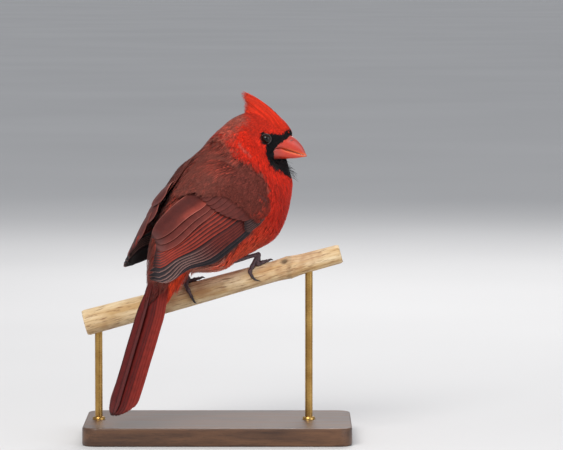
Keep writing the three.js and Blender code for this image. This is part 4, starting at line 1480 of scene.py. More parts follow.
@dataclass(frozen=True)
class Dress:
    """A firm feather's colours: inner vane, outer vane, rims, tip and shaft.

    base_outer and base_rim, where given, are those of the half nearer the root.
    """

    inner: Rgb
    outer: Rgb
    rim: Rgb
    tip: Rgb
    shaft: Rgb
    rim_share: float = 0.6
    tip_share: float = 0.5
    rim_at: float = 0.72
    base_outer: Rgb | None = None
    base_rim: Rgb | None = None
    rim_ramp: float = 0.12
    shaft_share: float = 0.8

    def paint(self, c: Array, reach: Array, x: Array, tone: float) -> Array:
        """Linear colours of a feather's grid.

        Args:
            c: The place across, from -1 at the inner rim to 1 at the outer rim.
            reach: How far it is from the shaft, in millimetres.
            x: The share of the length.
            tone: The feather's own shade.

        Returns:
            One colour a point.
        """
        far = smooth(0.42, 0.72, x)[..., None]
        outer = mix(linear(self.base_outer or self.outer), linear(self.outer), far)
        rim = mix(linear(self.base_rim or self.rim), linear(self.rim), far)
        colour = mix(linear(self.inner), outer, smooth(0.1, 0.55, c)[..., None])
        colour = mix(colour, linear(self.tip), (self.tip_share * smooth(0.84, 1.0, x))[..., None])
        at_rim = self.rim_share * smooth(self.rim_at, self.rim_at + self.rim_ramp, np.abs(c))
        colour = mix(colour, rim, at_rim[..., None]) * tone
        on_shaft = self.shaft_share * smooth(0.5, 0.2, np.abs(reach))
        return mix(colour, linear(self.shaft), on_shaft[..., None])


class Vanes:
    """Joins firm feathers into one piece, each a thin closed blade."""

    under_shade: float = 0.8

    def __init__(self) -> None:
        """Starts with none."""
        self.points: list[Array] = []
        self.faces: list[Array] = []
        self.colours: list[Array] = []
        self.notes: list[Array] = []
        self.flat: list[Array] = []

    def add(self, blade: Blade, dress: Dress, frame_at: FrameAt, length: float, rng: Generator) -> None:
        """Adds a feather.

        Args:
            blade: Its shape.
            dress: Its colours.
            frame_at: Gives centre, side and out directions at shares x of its length.
            length: Its length in millimetres.
            rng: Source of its small differences.
        """
        x = np.linspace(0, 1, blade.stations) ** 0.9
        c = np.sin(np.linspace(-1, 1, blade.columns) * math.pi / 2)
        centre, side, out = frame_at(x)
        wide = blade.profile(x)[:, None]
        reach = np.where(c < 0, blade.inner, blade.outer) * c * wide
        height = -(reach**2) / (2 * blade.camber) - blade.tilt * (blade.outer - reach)
        height = height + 0.06 * np.sin(x * 23 + rng.uniform(0, 6))[:, None] * np.abs(c)
        away = side[:, None] * reach[..., None] + out[:, None] * height[..., None]
        top = centre[:, None] + away * MM
        bottom = top - out[:, None] * blade.thickness * MM
        both = np.concatenate([top.reshape(-1, 3), bottom.reshape(-1, 3)])
        before = sum(map(len, self.points))
        self.points.append(both)
        self.faces.append(self.outward(both, self.shell(blade.stations, blade.columns)) + before)
        tone = math.exp(0.06 * rng.normal())
        shape = (blade.stations, blade.columns)
        across, run = np.broadcast_to(c, shape), np.broadcast_to(x[:, None], shape)
        face = dress.paint(across, reach, run, tone).reshape(-1, 3)
        self.colours += [face, self.under_shade * face]
        note = np.stack([reach, run * length, np.full(shape, rng.uniform(0, 50))], -1).reshape(-1, 3)
        self.notes += [note, note]
        for half in (0, 1):
            self.flat.append(np.stack([0.25 * across + 0.25 + 0.5 * half, run], -1).reshape(-1, 2))

    @staticmethod
    def shell(rows: int, columns: int) -> Array:
        """Triangles of a closed blade whose top and bottom are grids, split alike."""
        grid = np.arange(rows * columns).reshape(rows, columns)
        a, b, c, d = (g.ravel() for g in (grid[:-1, :-1], grid[:-1, 1:], grid[1:, 1:], grid[1:, :-1]))
        top = np.concatenate([np.stack([a, b, c], 1), np.stack([a, c, d], 1)])
        bottom = top[:, ::-1] + rows * columns
        ring = np.concatenate([grid[0, :-1], grid[:-1, -1], grid[-1, :0:-1], grid[:0:-1, 0]])
        after = np.roll(ring, -1)
        low, low_after = ring + rows * columns, after + rows * columns
        wall = np.concatenate([np.stack([ring, low, low_after], 1), np.stack([ring, low_after, after], 1)])
        return np.concatenate([top, bottom, wall])

    def piece(self, name: str, finish: Material) -> Object:
        """Makes the object, with each feather in its own strip of the map."""
        piece = mesh_piece(name, np.concatenate(self.points), np.concatenate(self.faces), finish)
        paint(piece, "plumage", np.concatenate(self.colours))
        layer = piece.data.attributes.new(name="vane", type="FLOAT_VECTOR", domain="POINT")
        layer.data.foreach_set("vector", np.concatenate(self.notes).astype(np.float32).ravel())
        count = len(self.points)
        strips = math.ceil(math.sqrt(count * 3))
        rows = math.ceil(count / strips)
        uv = []
        for k, flat in enumerate(self.flat):
            corner = np.array([k // 2 % strips, k // 2 // strips], float)
            uv.append((corner + 0.03 + 0.94 * flat) / (strips, rows))
        bake_map(piece, np.concatenate(uv))
        return piece

    @staticmethod
    def outward(points: Array, faces: Array) -> Array:
        """Turns a feather's triangles so that they face out."""
        a, b, c = (points[faces[:, m]] - points[0] for m in range(3))
        return faces[:, ::-1] if (a * np.cross(b, c)).sum() < 0 else faces


@dataclass(frozen=True)
class VaneRow:
    """A row of wing feathers, lowest first, on the wing's form.

    roots and tips hold [t, degrees] of the first, middle and last feather, bow how far the
    first and last bend towards the belly, and level their height over the form at the root,
    their height further out, and how much higher each next one lies.
    """

    count: int
    roots: Corners
    tips: Corners
    bow: tuple[float, float]
    level: tuple[float, float, float]
    blade: Blade
    dress: Dress
    first_dress: Dress | None = None
    last_dress: Dress | None = None

    def feather(self, k: int) -> tuple[Array, Array, float]:
        """Root, tip and bow of feather k."""
        s = k / (self.count - 1)
        shares = np.array([(1 - s) * (1 - 2 * s), 4 * s * (1 - s), s * (2 * s - 1)])
        return shares @ np.array(self.roots), shares @ np.array(self.tips), mix(*self.bow, s)

    def dress_of(self, k: int) -> Dress:
        """The colours of feather k: the first two and the last may have their own."""
        if self.last_dress and k == self.count - 1:
            return self.last_dress
        return self.first_dress if self.first_dress and k < 2 else self.dress


OUTERMOST = Dress((24, 19, 24), (28, 23, 28), (88, 68, 72), (40, 34, 40), (13, 10, 13), 0.6, 0.3, 0.86)
PRIMARY = Dress(
    (22, 18, 22), (34, 26, 29), (204, 154, 144), (62, 52, 58), (13, 10, 13), 0.85, 0.3, 0.86,
    (88, 30, 26), (146, 54, 40),
)
SECONDARY = Dress((36, 19, 21), (96, 32, 26), (164, 56, 39), (84, 54, 54), (18, 9, 9), 0.85, 0.7, 0.7)
TERTIAL = Dress((84, 30, 25), (96, 35, 28), (164, 92, 80), (104, 72, 70), (34, 12, 12), 0.75, 0.5, 0.88)
# The top tertial's root half is brighter, with a pale rim: a painted highlight where the light catches its
# upper edge.
TERTIAL_HIGHLIT = replace(TERTIAL, base_outer=(138, 56, 45), base_rim=(214, 120, 104))
COVERT = Dress((88, 36, 30), (94, 37, 31), (108, 50, 43), (100, 45, 38), (66, 27, 23), 0.35, 0.3, 0.7)
ALULA = Dress((46, 30, 32), (58, 36, 36), (140, 102, 96), (80, 54, 54), (20, 14, 14), 0.7, 0.4, 0.84)
RIGHT_ROWS = {
    "primary": VaneRow(
        7, ((4.95, 106), (4.85, 101), (4.7, 94)), ((0.4, 56), (0, 41), (0.3, 36)),
        (33, 20), (-0.6, -0.2, 0.12), Blade(3.2, 5.4, tip=0.14), PRIMARY, OUTERMOST,
    ),
    "secondary": VaneRow(
        7, ((4.6, 89), (4.45, 76), (4.3, 63)), ((0.5, 39), (0.8, 38), (1.1, 37)),
        (14, 3), (-0.4, 0.75, 0.12), Blade(3.6, 6.0, tip=0.12), SECONDARY,
    ),
    "tertial": VaneRow(
        3, ((4.3, 60), (4.3, 55.5), (4.25, 50)), ((1.15, 37), (1.4, 31.5), (1.55, 23.5)),
        (4, 2), (0.0, 2.2, 0.32), Blade(6.6, 8.2, tilt=0.08, tip=0.3), TERTIAL, last_dress=TERTIAL_HIGHLIT,
    ),
    "primary_covert": VaneRow(
        6, ((5.05, 106), (5, 102), (4.95, 98)), ((3.8, 104), (3.85, 100), (4.05, 95)),
        (2, 0), (0.0, 0.9, 0.12), Blade(1.6, 2.6, tip=0.25, stations=12), ALULA,
    ),
    "greater_covert": VaneRow(
        9, ((4.95, 95), (4.85, 76), (4.7, 52)), ((4, 90), (3.65, 71), (3.7, 50)),
        (0, 0), (0.7, 1.6, 0.07), Blade(3.2, 3.8, 0.1, tilt=0.06, tip=0.4, stations=14), COVERT,
    ),
    "alula": VaneRow(
        3, ((5.4, 103), (5.35, 101), (5.3, 99)), ((4.35, 104), (4.4, 101), (4.45, 98)),
        (0, 0), (0.4, 1.6, 0.15), Blade(1.8, 2.6, tip=0.25, stations=12), ALULA,
    ),
    "median_covert": VaneRow(
        8, ((5.45, 94), (5.3, 74), (5.15, 50)), ((4.7, 93), (4.5, 73), (4.35, 50)),
        (0, 0), (1.2, 2.1, 0.05), Blade(3.4, 3.6, 0.1, tilt=0.06, tip=0.5, stations=12), COVERT,
    ),
}
# The far wing lies higher over the back, with the tips of its inner feathers in steps.
LEFT_ROWS = RIGHT_ROWS | {
    "primary": replace(
        RIGHT_ROWS["primary"], tips=((0.35, 42), (0, 24), (0.25, 18)), bow=(38, 29),
    ),
    "secondary": replace(
        RIGHT_ROWS["secondary"], roots=((4.6, 89), (4.45, 72), (4.3, 53)),
        tips=((0.5, 24), (0.7, 19), (0.9, 14)), bow=(19, 9),
    ),
    "tertial": replace(
        RIGHT_ROWS["tertial"], roots=((4.3, 50), (4.3, 41), (4.25, 33)),
        tips=((1.15, 12), (2.0, 9), (2.85, 8)), bow=(3, 1),
    ),
}
WING_ROWS = {Side.RIGHT: RIGHT_ROWS, Side.LEFT: LEFT_ROWS}


@dataclass(frozen=True)
class Wing:
    """A folded wing: its covered arm, its firm feathers in tiers and its soft coverts.

    covert_level is the height of the soft coverts over the form at the bend of the wing,
    behind it, and over the back.
    """

    side: Side
    arm_t: tuple[float, float] = (3.1, 5.75)
    arm_degrees: tuple[float, float] = (40, 108)
    arm_sinks: tuple[float, float] = (2.1, 3.6)
    arm_steps: int = 24
    corner: float = 0.6
    settle: float = 2.4
    barbs: Barbs = Barbs(11, (0.0, 0.5), 0.66, 0.1, 0.26, 0.06)
    covert_rows: int = 38
    covert_t: tuple[float, float] = (3.9, 6.15)
    covert_low: float = 12.0
    covert_width: tuple[float, float] = (3.0, 2.8)
    covert_length: tuple[float, float] = (5.5, 11.0)
    apart: float = 1.36
    covert_level: tuple[float, float, float] = (-1.5, 2.7, -1.2)
    covert: Rgb = (104, 43, 35)
    scapular: Rgb = (110, 41, 31)
    bend: Rgb = (168, 46, 30)
    fringe: Rgb = (136, 84, 74)

    @property
    def name(self) -> str:
        """The side's name in the names of pieces."""
        return self.side.name.lower()

    @property
    def form(self) -> Form:
        """The form that the wing lies on."""
        return WING_FORMS[self.side]

    def build(self, firm: Material, soft: Material) -> None:
        """Makes the arm, the flight feathers and the soft coverts."""
        rng = default_rng(SEED + 10 + self.side.value)
        self.arm(soft)
        flight = Vanes()
        for row in WING_ROWS[self.side].values():
            for k in range(row.count):
                self.feather(flight, row, k, rng)
        register(flight.piece(f"flight_{self.name}", firm), "wing", f"wing_{self.name}")
        self.soft_coverts(soft, rng)

    def feather(self, vanes: Vanes, row: VaneRow, k: int, rng: Generator) -> None:
        """Lays one firm feather along the form."""
        root, tip, bow = row.feather(k)
        low, high, step = row.level
        high += step * k

        def line(x: Array, aside: float = 0.0, swell: float = 0.0) -> Array:
            degrees = mix(root[1], tip[1], x) + aside
            degrees = degrees + 2.9 * bow * np.clip(x, 0, 1) ** 1.3 * np.clip(1 - x, 0, 1) ** 0.5
            t = mix(root[0], tip[0], x)
            height = mix(low, high, smooth(0.0, 0.45, x)) + swell
            if self.side is Side.LEFT:
                height = height - self.settle * smooth(32.0, 10.0, degrees) * smooth(3.4, 2.4, t)
            return self.form.point(t, self.side.value * np.radians(degrees), height)

        def frame_at(x: Array) -> tuple[Array, Array, Array]:
            centre = line(x)
            along = unit(line(x + 0.01) - line(x - 0.01))
            out = line(x, swell=1.0) - centre
            out = unit(out - (out * along).sum(-1, keepdims=True) * along)
            lower = np.cross(out, along)
            sign = np.sign((lower * (line(x, 4.0) - centre)).sum(-1, keepdims=True))
            return centre, lower * sign, out

        steps = np.diff(line(np.linspace(0, 1, 30)), axis=0)
        length = np.linalg.norm(steps, axis=1).sum() / MM
        vanes.add(row.blade, row.dress_of(k), frame_at, length, rng)

    def arm(self, soft: Material) -> None:
        """The covered arm, a low closed pad under the coverts, painted dark as shade beneath them."""
        steps = self.arm_steps
        a, b = np.meshgrid(np.linspace(0, 1, steps), np.linspace(0, 1, steps))
        edge = np.minimum(1.0, np.minimum(2.4 * np.sin(math.pi * a), 2 * np.sin(math.pi * b)))
        t = mix(self.arm_t[0], self.arm_t[1] - self.corner * (2 * a - 1) ** 2, b)
        theta = self.side.value * np.radians(mix(*self.arm_degrees, a))
        points = np.stack([self.form.point(t, theta, 0.8 * edge - sink) for sink in self.arm_sinks])
        points = points.reshape(-1, 3)
        faces = Vanes.outward(points, Vanes.shell(steps, steps))
        piece = mesh_piece(f"arm_{self.name}", points, faces, soft)
        # Painted shade: half the coverts' inner colour, for the dark beneath them.
        paint(piece, "plumage", np.tile(0.5 * linear(COVERT.inner), (len(points), 1)))
        register(piece, "wing")

    def soft_coverts(self, soft: Material, rng: Generator) -> None:
        """The lesser coverts and the scapulars, in soft overlapping rows."""
        t, degrees = self.roots(rng)
        theta = self.side.value * np.radians(degrees)
        scapular = smooth(64, 46, degrees)
        length = mix(*self.covert_length, scapular) * rng.normal(1, 0.1, len(t))
        tufts = Tufts(self.barbs, length, mix(*self.covert_width, scapular), rng)
        yaw = np.radians(rng.normal(0, 5, len(t))) - 0.2 * self.side.value * scapular
        front, behind, over_back = self.covert_level
        base = mix(front, behind, smooth(6.1, 5.1, t)) * smooth(112, 98, degrees)
        base = mix(over_back, base, smooth(10, 46, degrees))[:, None]
        swell = base - 1.2 * (1 - tufts.share) ** 1.5 + 0.5 * tufts.share + tufts.rise
        lie = self.form.grain(t, theta)
        points = tufts.laid(self.form, lie, t, theta, yaw, swell)
        colour = self.covert_colours(tufts, degrees, scapular, rng.normal(0, 1, len(t)))
        on_map = MARGIN + (1 - 2 * MARGIN) * np.stack([degrees / 180, t / 6.5], -1)
        piece = tufts.piece(f"coverts_{self.name}", points, colour, on_map, soft)
        tufts.shade(piece, lie["normal"], lie["along"], lie["across"])
        register(piece, "wing")

    def covert_colours(self, tufts: Tufts, degrees: Array, scapular: Array, jitter: Array) -> Array:
        """Colours of the soft coverts: redder at the bend of the wing, fringed on the scapulars, and darker
        at the root, partly their darker bases and partly painted shade under the rows over them.
        """
        tone = mix(linear(self.covert), linear(self.scapular), scapular[:, None])
        tone = mix(tone, linear(self.bend), 0.7 * smooth(92, 104, degrees + 3 * jitter)[:, None])
        tone = tone * np.exp(mix(0.14, 0.3, scapular) * jitter)[:, None]
        streak = np.exp(mix(0.22, 0.46, scapular)[:, None] * tufts.streak)[..., None]
        colour = tone[:, None] * mix(0.5, 1.0, smooth(0.1, 0.6, tufts.share[..., None])) * streak
        fringe = tufts.rim(0.82, 0.75) * mix(0.2, 0.6, scapular)[:, None, None]
        return mix(colour, linear(self.fringe), fringe)

    def roots(self, rng: Generator) -> tuple[Array, Array]:
        """Rows of roots over the shoulder, staggered and a little uneven."""
        found = []
        for row in range(self.covert_rows):
            t = mix(*self.covert_t, row / (self.covert_rows - 1))
            low, high = self.covert_low, mix(105.0, 90.0, smooth(5.4, 6.15, t))
            ends = self.form.point(np.array([t, t]), np.radians([low, high]))
            count = int(np.linalg.norm(ends[1] - ends[0]) / MM / self.apart)
            for k in range(count):
                degrees = mix(low, high, (k + 0.5 * (row % 2)) / count)
                if t > 4.6 - 0.3 * smooth(66, 46, degrees) - 0.35 * smooth(42, 26, degrees):
                    found.append((t + rng.normal(0, 0.02), degrees + rng.normal(0, 0.7)))
        return tuple(np.array(found).T)


@dataclass(frozen=True)
class Tail:
    """The tail: twelve feathers, one under the other, with coverts over and under them."""

    origin: tuple[float, float] = (-50.8, 116)
    slope: float = 71.2
    length: float = 102
    pairs: int = 6
    start: float = 9
    offset: float = 1.2
    step: tuple[float, float] = (1.25, 2.15)
    sway: float = -3
    sink: float = 0.42
    roof: tuple[float, float] = (0.4, 0.15)
    rounding: float = 6.5
    blade: Blade = Blade(6.6, 7.0, 0.18, 60.0, 0.0, 0.55, 0.1, 34, 9)
    outer_dress: Dress = Dress(
        (94, 17, 15), (104, 21, 17), (46, 14, 16), (96, 44, 40), (34, 9, 11), 0.6, 0.45, 0.84
    )
    under_dress: Dress = Dress(
        (84, 20, 18), (122, 30, 22), (138, 44, 34), (98, 50, 46), (32, 11, 12), 0.5, 0.4, 0.84
    )
    barbs: Barbs = Barbs(11, (0.0, 0.3, 0.65), 0.6, 0.1, 0.3, 0.04)
    coverts_above: int = 60
    coverts_below: int = 80
    covert_above: Rgb = (104, 32, 26)
    covert_below: Rgb = (216, 60, 34)
    covert_fringe: Rgb = (138, 86, 78)

    def point(self, across: Value, along: Value, height: Value) -> Array:
        """A point of the tail from its middle line, in the model's frame."""
        slope = math.radians(self.slope)
        share = np.clip(along / self.length, 0, 1)
        roofed = height - np.abs(across) * mix(*self.roof, share)
        u = self.origin[0] - math.cos(slope) * along - math.sin(slope) * roofed
        z = self.origin[1] - math.sin(slope) * along + math.cos(slope) * roofed
        return STANCE.place(u, across + self.sway * share, z)

    def build(self, firm: Material, soft: Material) -> None:
        """Makes the tail feathers and the coverts."""
        rng = default_rng(SEED + 20)
        vanes = Vanes()
        for k in reversed(range(self.pairs)):
            for side in (-1, 1):
                self.rectrix(vanes, k, side, rng)
        register(vanes.piece("tail_feathers", firm), "tail", "tail")
        self.coverts("tail_coverts_above", self.coverts_above, soft, rng, above=True)
        self.coverts("tail_coverts_below", self.coverts_below, soft, rng, above=False)

    def rectrix(self, vanes: Vanes, k: int, side: int, rng: Generator) -> None:
        """Lays tail feather k of one side."""
        length = self.length - self.rounding * (k / (self.pairs - 1)) ** 2
        level = (0.25 if side > 0 else 0.0) - k * self.sink

        def frame_at(x: Array) -> tuple[Array, Array, Array]:
            along = mix(self.start, length, x)
            middle = side * (self.offset + k * mix(*self.step, along / self.length))
            centre = self.point(middle, along, level)
            aside = self.point(middle + 0.5, along, level) - self.point(middle - 0.5, along, level)
            out = unit(self.point(middle, along, level + 1) - centre)
            return centre, unit(aside) * side, out

        dress = self.outer_dress if k < 2 else self.under_dress
        vanes.add(self.blade, dress, frame_at, length, rng)

    def coverts(self, name: str, count: int, soft: Material, rng: Generator, above: bool) -> None:
        """Soft feathers over or under the roots of the tail feathers."""
        edge = rng.uniform(-1, 1, count)
        back = rng.uniform(0, 1, count) ** 0.8
        length = mix(12.0, 17.0, back) * (1 - 0.2 * edge**2)
        tufts = Tufts(self.barbs, length, mix(4.2, 5.2, back), rng)
        start = mix(-6.0, 14.0, back)[:, None] if above else mix(2.0, 17.0, back)[:, None]
        across = (edge * 6.6)[:, None] * mix(1.0, 0.75, tufts.share) + tufts.across
        along = start + tufts.along
        uneven = rng.uniform(0, 1, count)[:, None]
        if above:
            height = 1.3 + 0.5 * uneven - 0.9 * smooth(4.0, 30.0, along) + tufts.rise
        else:
            hang = np.interp(along, [0, 10, 20, 33], [-13.5, -12.5, -9.5, -4.0])
            height = hang * (1 - 0.25 * (edge**2)[:, None]) - 0.4 * uneven - tufts.rise
        points = self.point(across, along, height)
        tone = linear(self.covert_above if above else self.covert_below)
        colour = tone * np.exp(0.1 * rng.normal(0, 1, count))[:, None, None]
        share = tufts.share[..., None]
        # Darker towards the root: partly the feathers' darker bases, partly painted shade under the
        # feathers over them.
        colour = mix(0.5 * colour, colour, smooth(0.1, 0.6, share))
        if above:
            colour = mix(colour, linear(self.covert_fringe), 0.5 * smooth(0.8, 1.0, share))
        angle = edge * 0.5 if above else math.pi - 0.5 * edge
        on_map = BodyCoat.unwrap(mix(1.0, -0.4, back), (angle + math.pi) % TURN - math.pi)
        piece = tufts.piece(name, points, np.broadcast_to(colour, points.shape), on_map, soft)
        register(piece, "tail" if above else "coat")


# Stem, legs and feet


@dataclass(frozen=True)
class Stem:
    """The cut length of dry stem, rising to the right, with a swelling at its node.

    scar is a small pit by the node, at a place along the stem and an angle round it.
    """

    low: float = -88.0
    high: float = 81.0
    slope: float = 15.3
    height: float = 99.9
    radius: float = 7.32
    taper: float = 0.0019
    node_at: float = 47.0
    scar: tuple[float, float] = (45.0, -0.75)
    rings: int = 200
    around: int = 72

    def axis(self, x: float) -> float:
        """The height of the stem's middle at x."""
        return self.height + x * math.tan(math.radians(self.slope))

    def girth(self, x: float) -> float:
        """The stem's radius at x."""
        taper = 1 - self.taper * x
        return self.radius * taper * (1 + 0.1 * math.exp(-(((x - self.node_at) / 6) ** 2)))

    def on(self, x: float, angle: float, out: float = 0.0) -> Array:
        """A point in millimetres off the stem's surface, at an angle from its top to the back."""
        slope = math.radians(self.slope)
        radius = self.girth(x) + out
        up = math.cos(angle) * radius
        across = math.sin(angle) * radius
        return np.array([x - math.sin(slope) * up, across, self.axis(x) + math.cos(slope) * up])

    def build(self, finish: Material) -> None:
        """Makes the stem, lightly ribbed along its length, with clean cut ends."""

        def shape(i: int, j: int) -> Array:
            x = mix(self.low, self.high, i / self.rings)
            angle = step_round(j, self.around)
            rib = 0.12 * math.sin(3 * angle + 0.05 * x)
            rib += 0.05 * math.sin(17 * angle + 0.3 * math.sin(0.09 * x))
            knot = 0.25 * math.exp(-(((x - self.node_at) / 1.2) ** 2))
            aside = (angle - self.scar[1] + math.pi) % TURN - math.pi
            away = math.hypot(x - self.scar[0], 6 * aside)
            pit = -0.7 * math.exp(-((away / 2.6) ** 2))
            trim = -0.5 * max(0.0, 1 - min(i, self.rings - i) / 1.5)
            return self.on(x, angle, rib + knot + pit + trim) * MM

        piece = from_bmesh("stem", wrapped(self.rings, self.around, shape), finish)
        points = corners(piece) / MM
        away = np.linalg.norm(points - self.on(*self.scar), axis=1)
        ring = np.abs(points[:, 0] - self.node_at)
        dark = 1 - 0.72 * smooth(3.4, 1.0, away) - 0.2 * smooth(2.2, 0.4, ring)
        paint(piece, "paint", np.repeat(dark[:, None], 3, 1))
        register(piece, "stem", "perch")


STEM = Stem()


def tube(path: Array, radius: Callable[[float, float], float], rings: int, sides: int) -> BMesh:
    """A round limb along a smooth path.

    Args:
        path: Points in millimetres.
        radius: Gives the radius at a share of the length and an angle.
        rings: Steps along.
        sides: Steps round.

    Returns:
        The limb's mesh.
    """
    share = np.linspace(0, 1, rings + 1)
    centre = rows_at(path, share * (len(path) - 1))
    tangent = unit(np.gradient(centre, axis=0))
    normals = [unit(np.cross(tangent[0], [0.3, 0.9, 0.2]))]
    for direction in tangent[1:]:
        normals.append(unit(normals[-1] - direction * np.dot(normals[-1], direction)))
    other = np.cross(tangent, normals)

    def shape(i: int, j: int) -> Array:
        angle = step_round(j, sides)
        out = math.cos(angle) * normals[i] + math.sin(angle) * other[i]
        return (centre[i] + radius(i / rings, angle) * out) * MM

    return wrapped(rings, sides, shape)


@dataclass(frozen=True)
class FootPlan:
    """A foot: where it grips, its shank, and its toes and claws.

    x is its place along the stem. toes and claws hold [degrees round the stem, millimetres
    along it] at each joint, and ankle and shank hold places in the model's frame.
    """

    side: Side
    x: float
    ankle: tuple[float, float, float]
    shank: tuple[tuple[float, float, float], ...]
    toes: tuple[Corners, ...]
    claws: tuple[Corners, ...]


FEET = (
    FootPlan(
        Side.RIGHT, 26.4, (26.5, -1, 121.4),
        ((3, -13, 117), (9, -11, 117.6), (15.5, -7.5, 118.9), (22, -3.5, 120.6)),
        (((-18, 2), (-12, 5.5), (-6, 8.5)), ((20, 3), (55, 6), (92, 9)), ((30, 0), (62, 2), (96, 3)),
         ((-30, -2), (-56, -4), (-82, -3.5))),
        (((-2, 10.5), (8, 12)), ((118, 10), (146, 10.5)), ((118, 3.5), (142, 4)), ((-98, -2), (-116, 1))),
    ),
    FootPlan(
        Side.LEFT, -19, (-20, -1.5, 105.6),
        ((-19, -16, 121), (-20, -12, 116), (-20.5, -8, 112), (-20.5, -4, 108.5)),
        (((16, 2.5), (14, 6), (12, 9)), ((24, 2), (58, 5), (94, 8)), ((30, -2), (64, -2), (98, -1)),
         ((-34, 0), (-66, 0.5), (-100, 1.5))),
        (((12, 11), (18, 12.5)), ((118, 9.5), (145, 10)), ((120, 0), (144, 1)), ((-121, 2.2), (-144, 3.2))),
    ),
)


@dataclass(frozen=True)
class Foot:
    """A scaly shank and toes, with claws."""

    plan: FootPlan
    shank_radii: tuple[tuple[float], ...] = ((2.1,), (1.75,), (1.4,), (1.3,), (1.5,))
    toe_radii: tuple[tuple[float], ...] = ((1.65,), (1.45,), (1.3,), (1.0,))
    claw_radii: tuple[tuple[float], ...] = ((0.85,), (0.65,), (0.12,))
    lift: float = 0.35
    ball: float = 1.75

    def build(self, skin: Material, horn: Material) -> None:
        """Makes the leg, the toes and the claws of one foot."""
        name = self.plan.side.name.lower()
        ankle = np.array(self.plan.ankle, float)
        shank = np.array([*self.plan.shank, ankle], float)

        def leg_girth(s: float, angle: float) -> float:
            scute = 0.05 * abs(math.sin(s * 34)) * max(0.0, math.cos(angle))
            return float(along_line(self.shank_radii, s)[0]) * (1 + scute)

        leg = from_bmesh(f"shank_{name}", tube(shank, leg_girth, 70, 16), skin)
        register(leg, "leg", f"leg_{name}")
        toes, claws = bmesh.new(), bmesh.new()
        for toe, claw in zip(self.plan.toes, self.plan.claws):
            self.grow(toes, self.toe(ankle, toe))
            self.grow(claws, self.claw(toe[2], claw))
        ball = bmesh.new()
        bmesh.ops.create_uvsphere(ball, u_segments=20, v_segments=14, radius=self.ball * MM)
        bmesh.ops.translate(ball, verts=ball.verts, vec=Vector(ankle * MM))
        self.grow(toes, ball)
        register(from_bmesh(f"toes_{name}", toes, skin), "leg", f"foot_{name}")
        register(from_bmesh(f"claws_{name}", claws, horn), "leg")

    def at(self, joint: tuple[float, float], out: float) -> Array:
        """A joint's place over the stem."""
        return STEM.on(self.plan.x + joint[1], math.radians(joint[0]), self.lift + out)

    def toe(self, ankle: Array, joints: Corners) -> BMesh:
        """One toe, swollen at its joints and ringed with scutes."""
        path = np.array([ankle, *(self.at(joint, 1.1) for joint in joints)])

        def girth(s: float, angle: float) -> float:
            pad = 0.24 * abs(math.cos(3 * math.pi * s)) ** 3
            scute = 0.06 * abs(math.sin(s * 30))
            return float(along_line(self.toe_radii, s)[0]) * (0.86 + pad + scute)

        return tube(path, girth, 48, 14)

    def claw(self, last: tuple[float, float], bend: Corners) -> BMesh:
        """One curved claw."""
        path = np.array([self.at(last, 0.85), self.at(bend[0], 1.25), self.at(bend[1], 0.3)])
        return tube(path, lambda s, angle: float(along_line(self.claw_radii, s)[0]), 20, 12)

    @staticmethod
    def grow(whole: BMesh, part: BMesh) -> None:
        """Adds one mesh to another."""
        mesh = bpy.data.meshes.new("part")
        part.to_mesh(mesh)
        part.free()
        whole.from_mesh(mesh)
        bpy.data.meshes.remove(mesh)


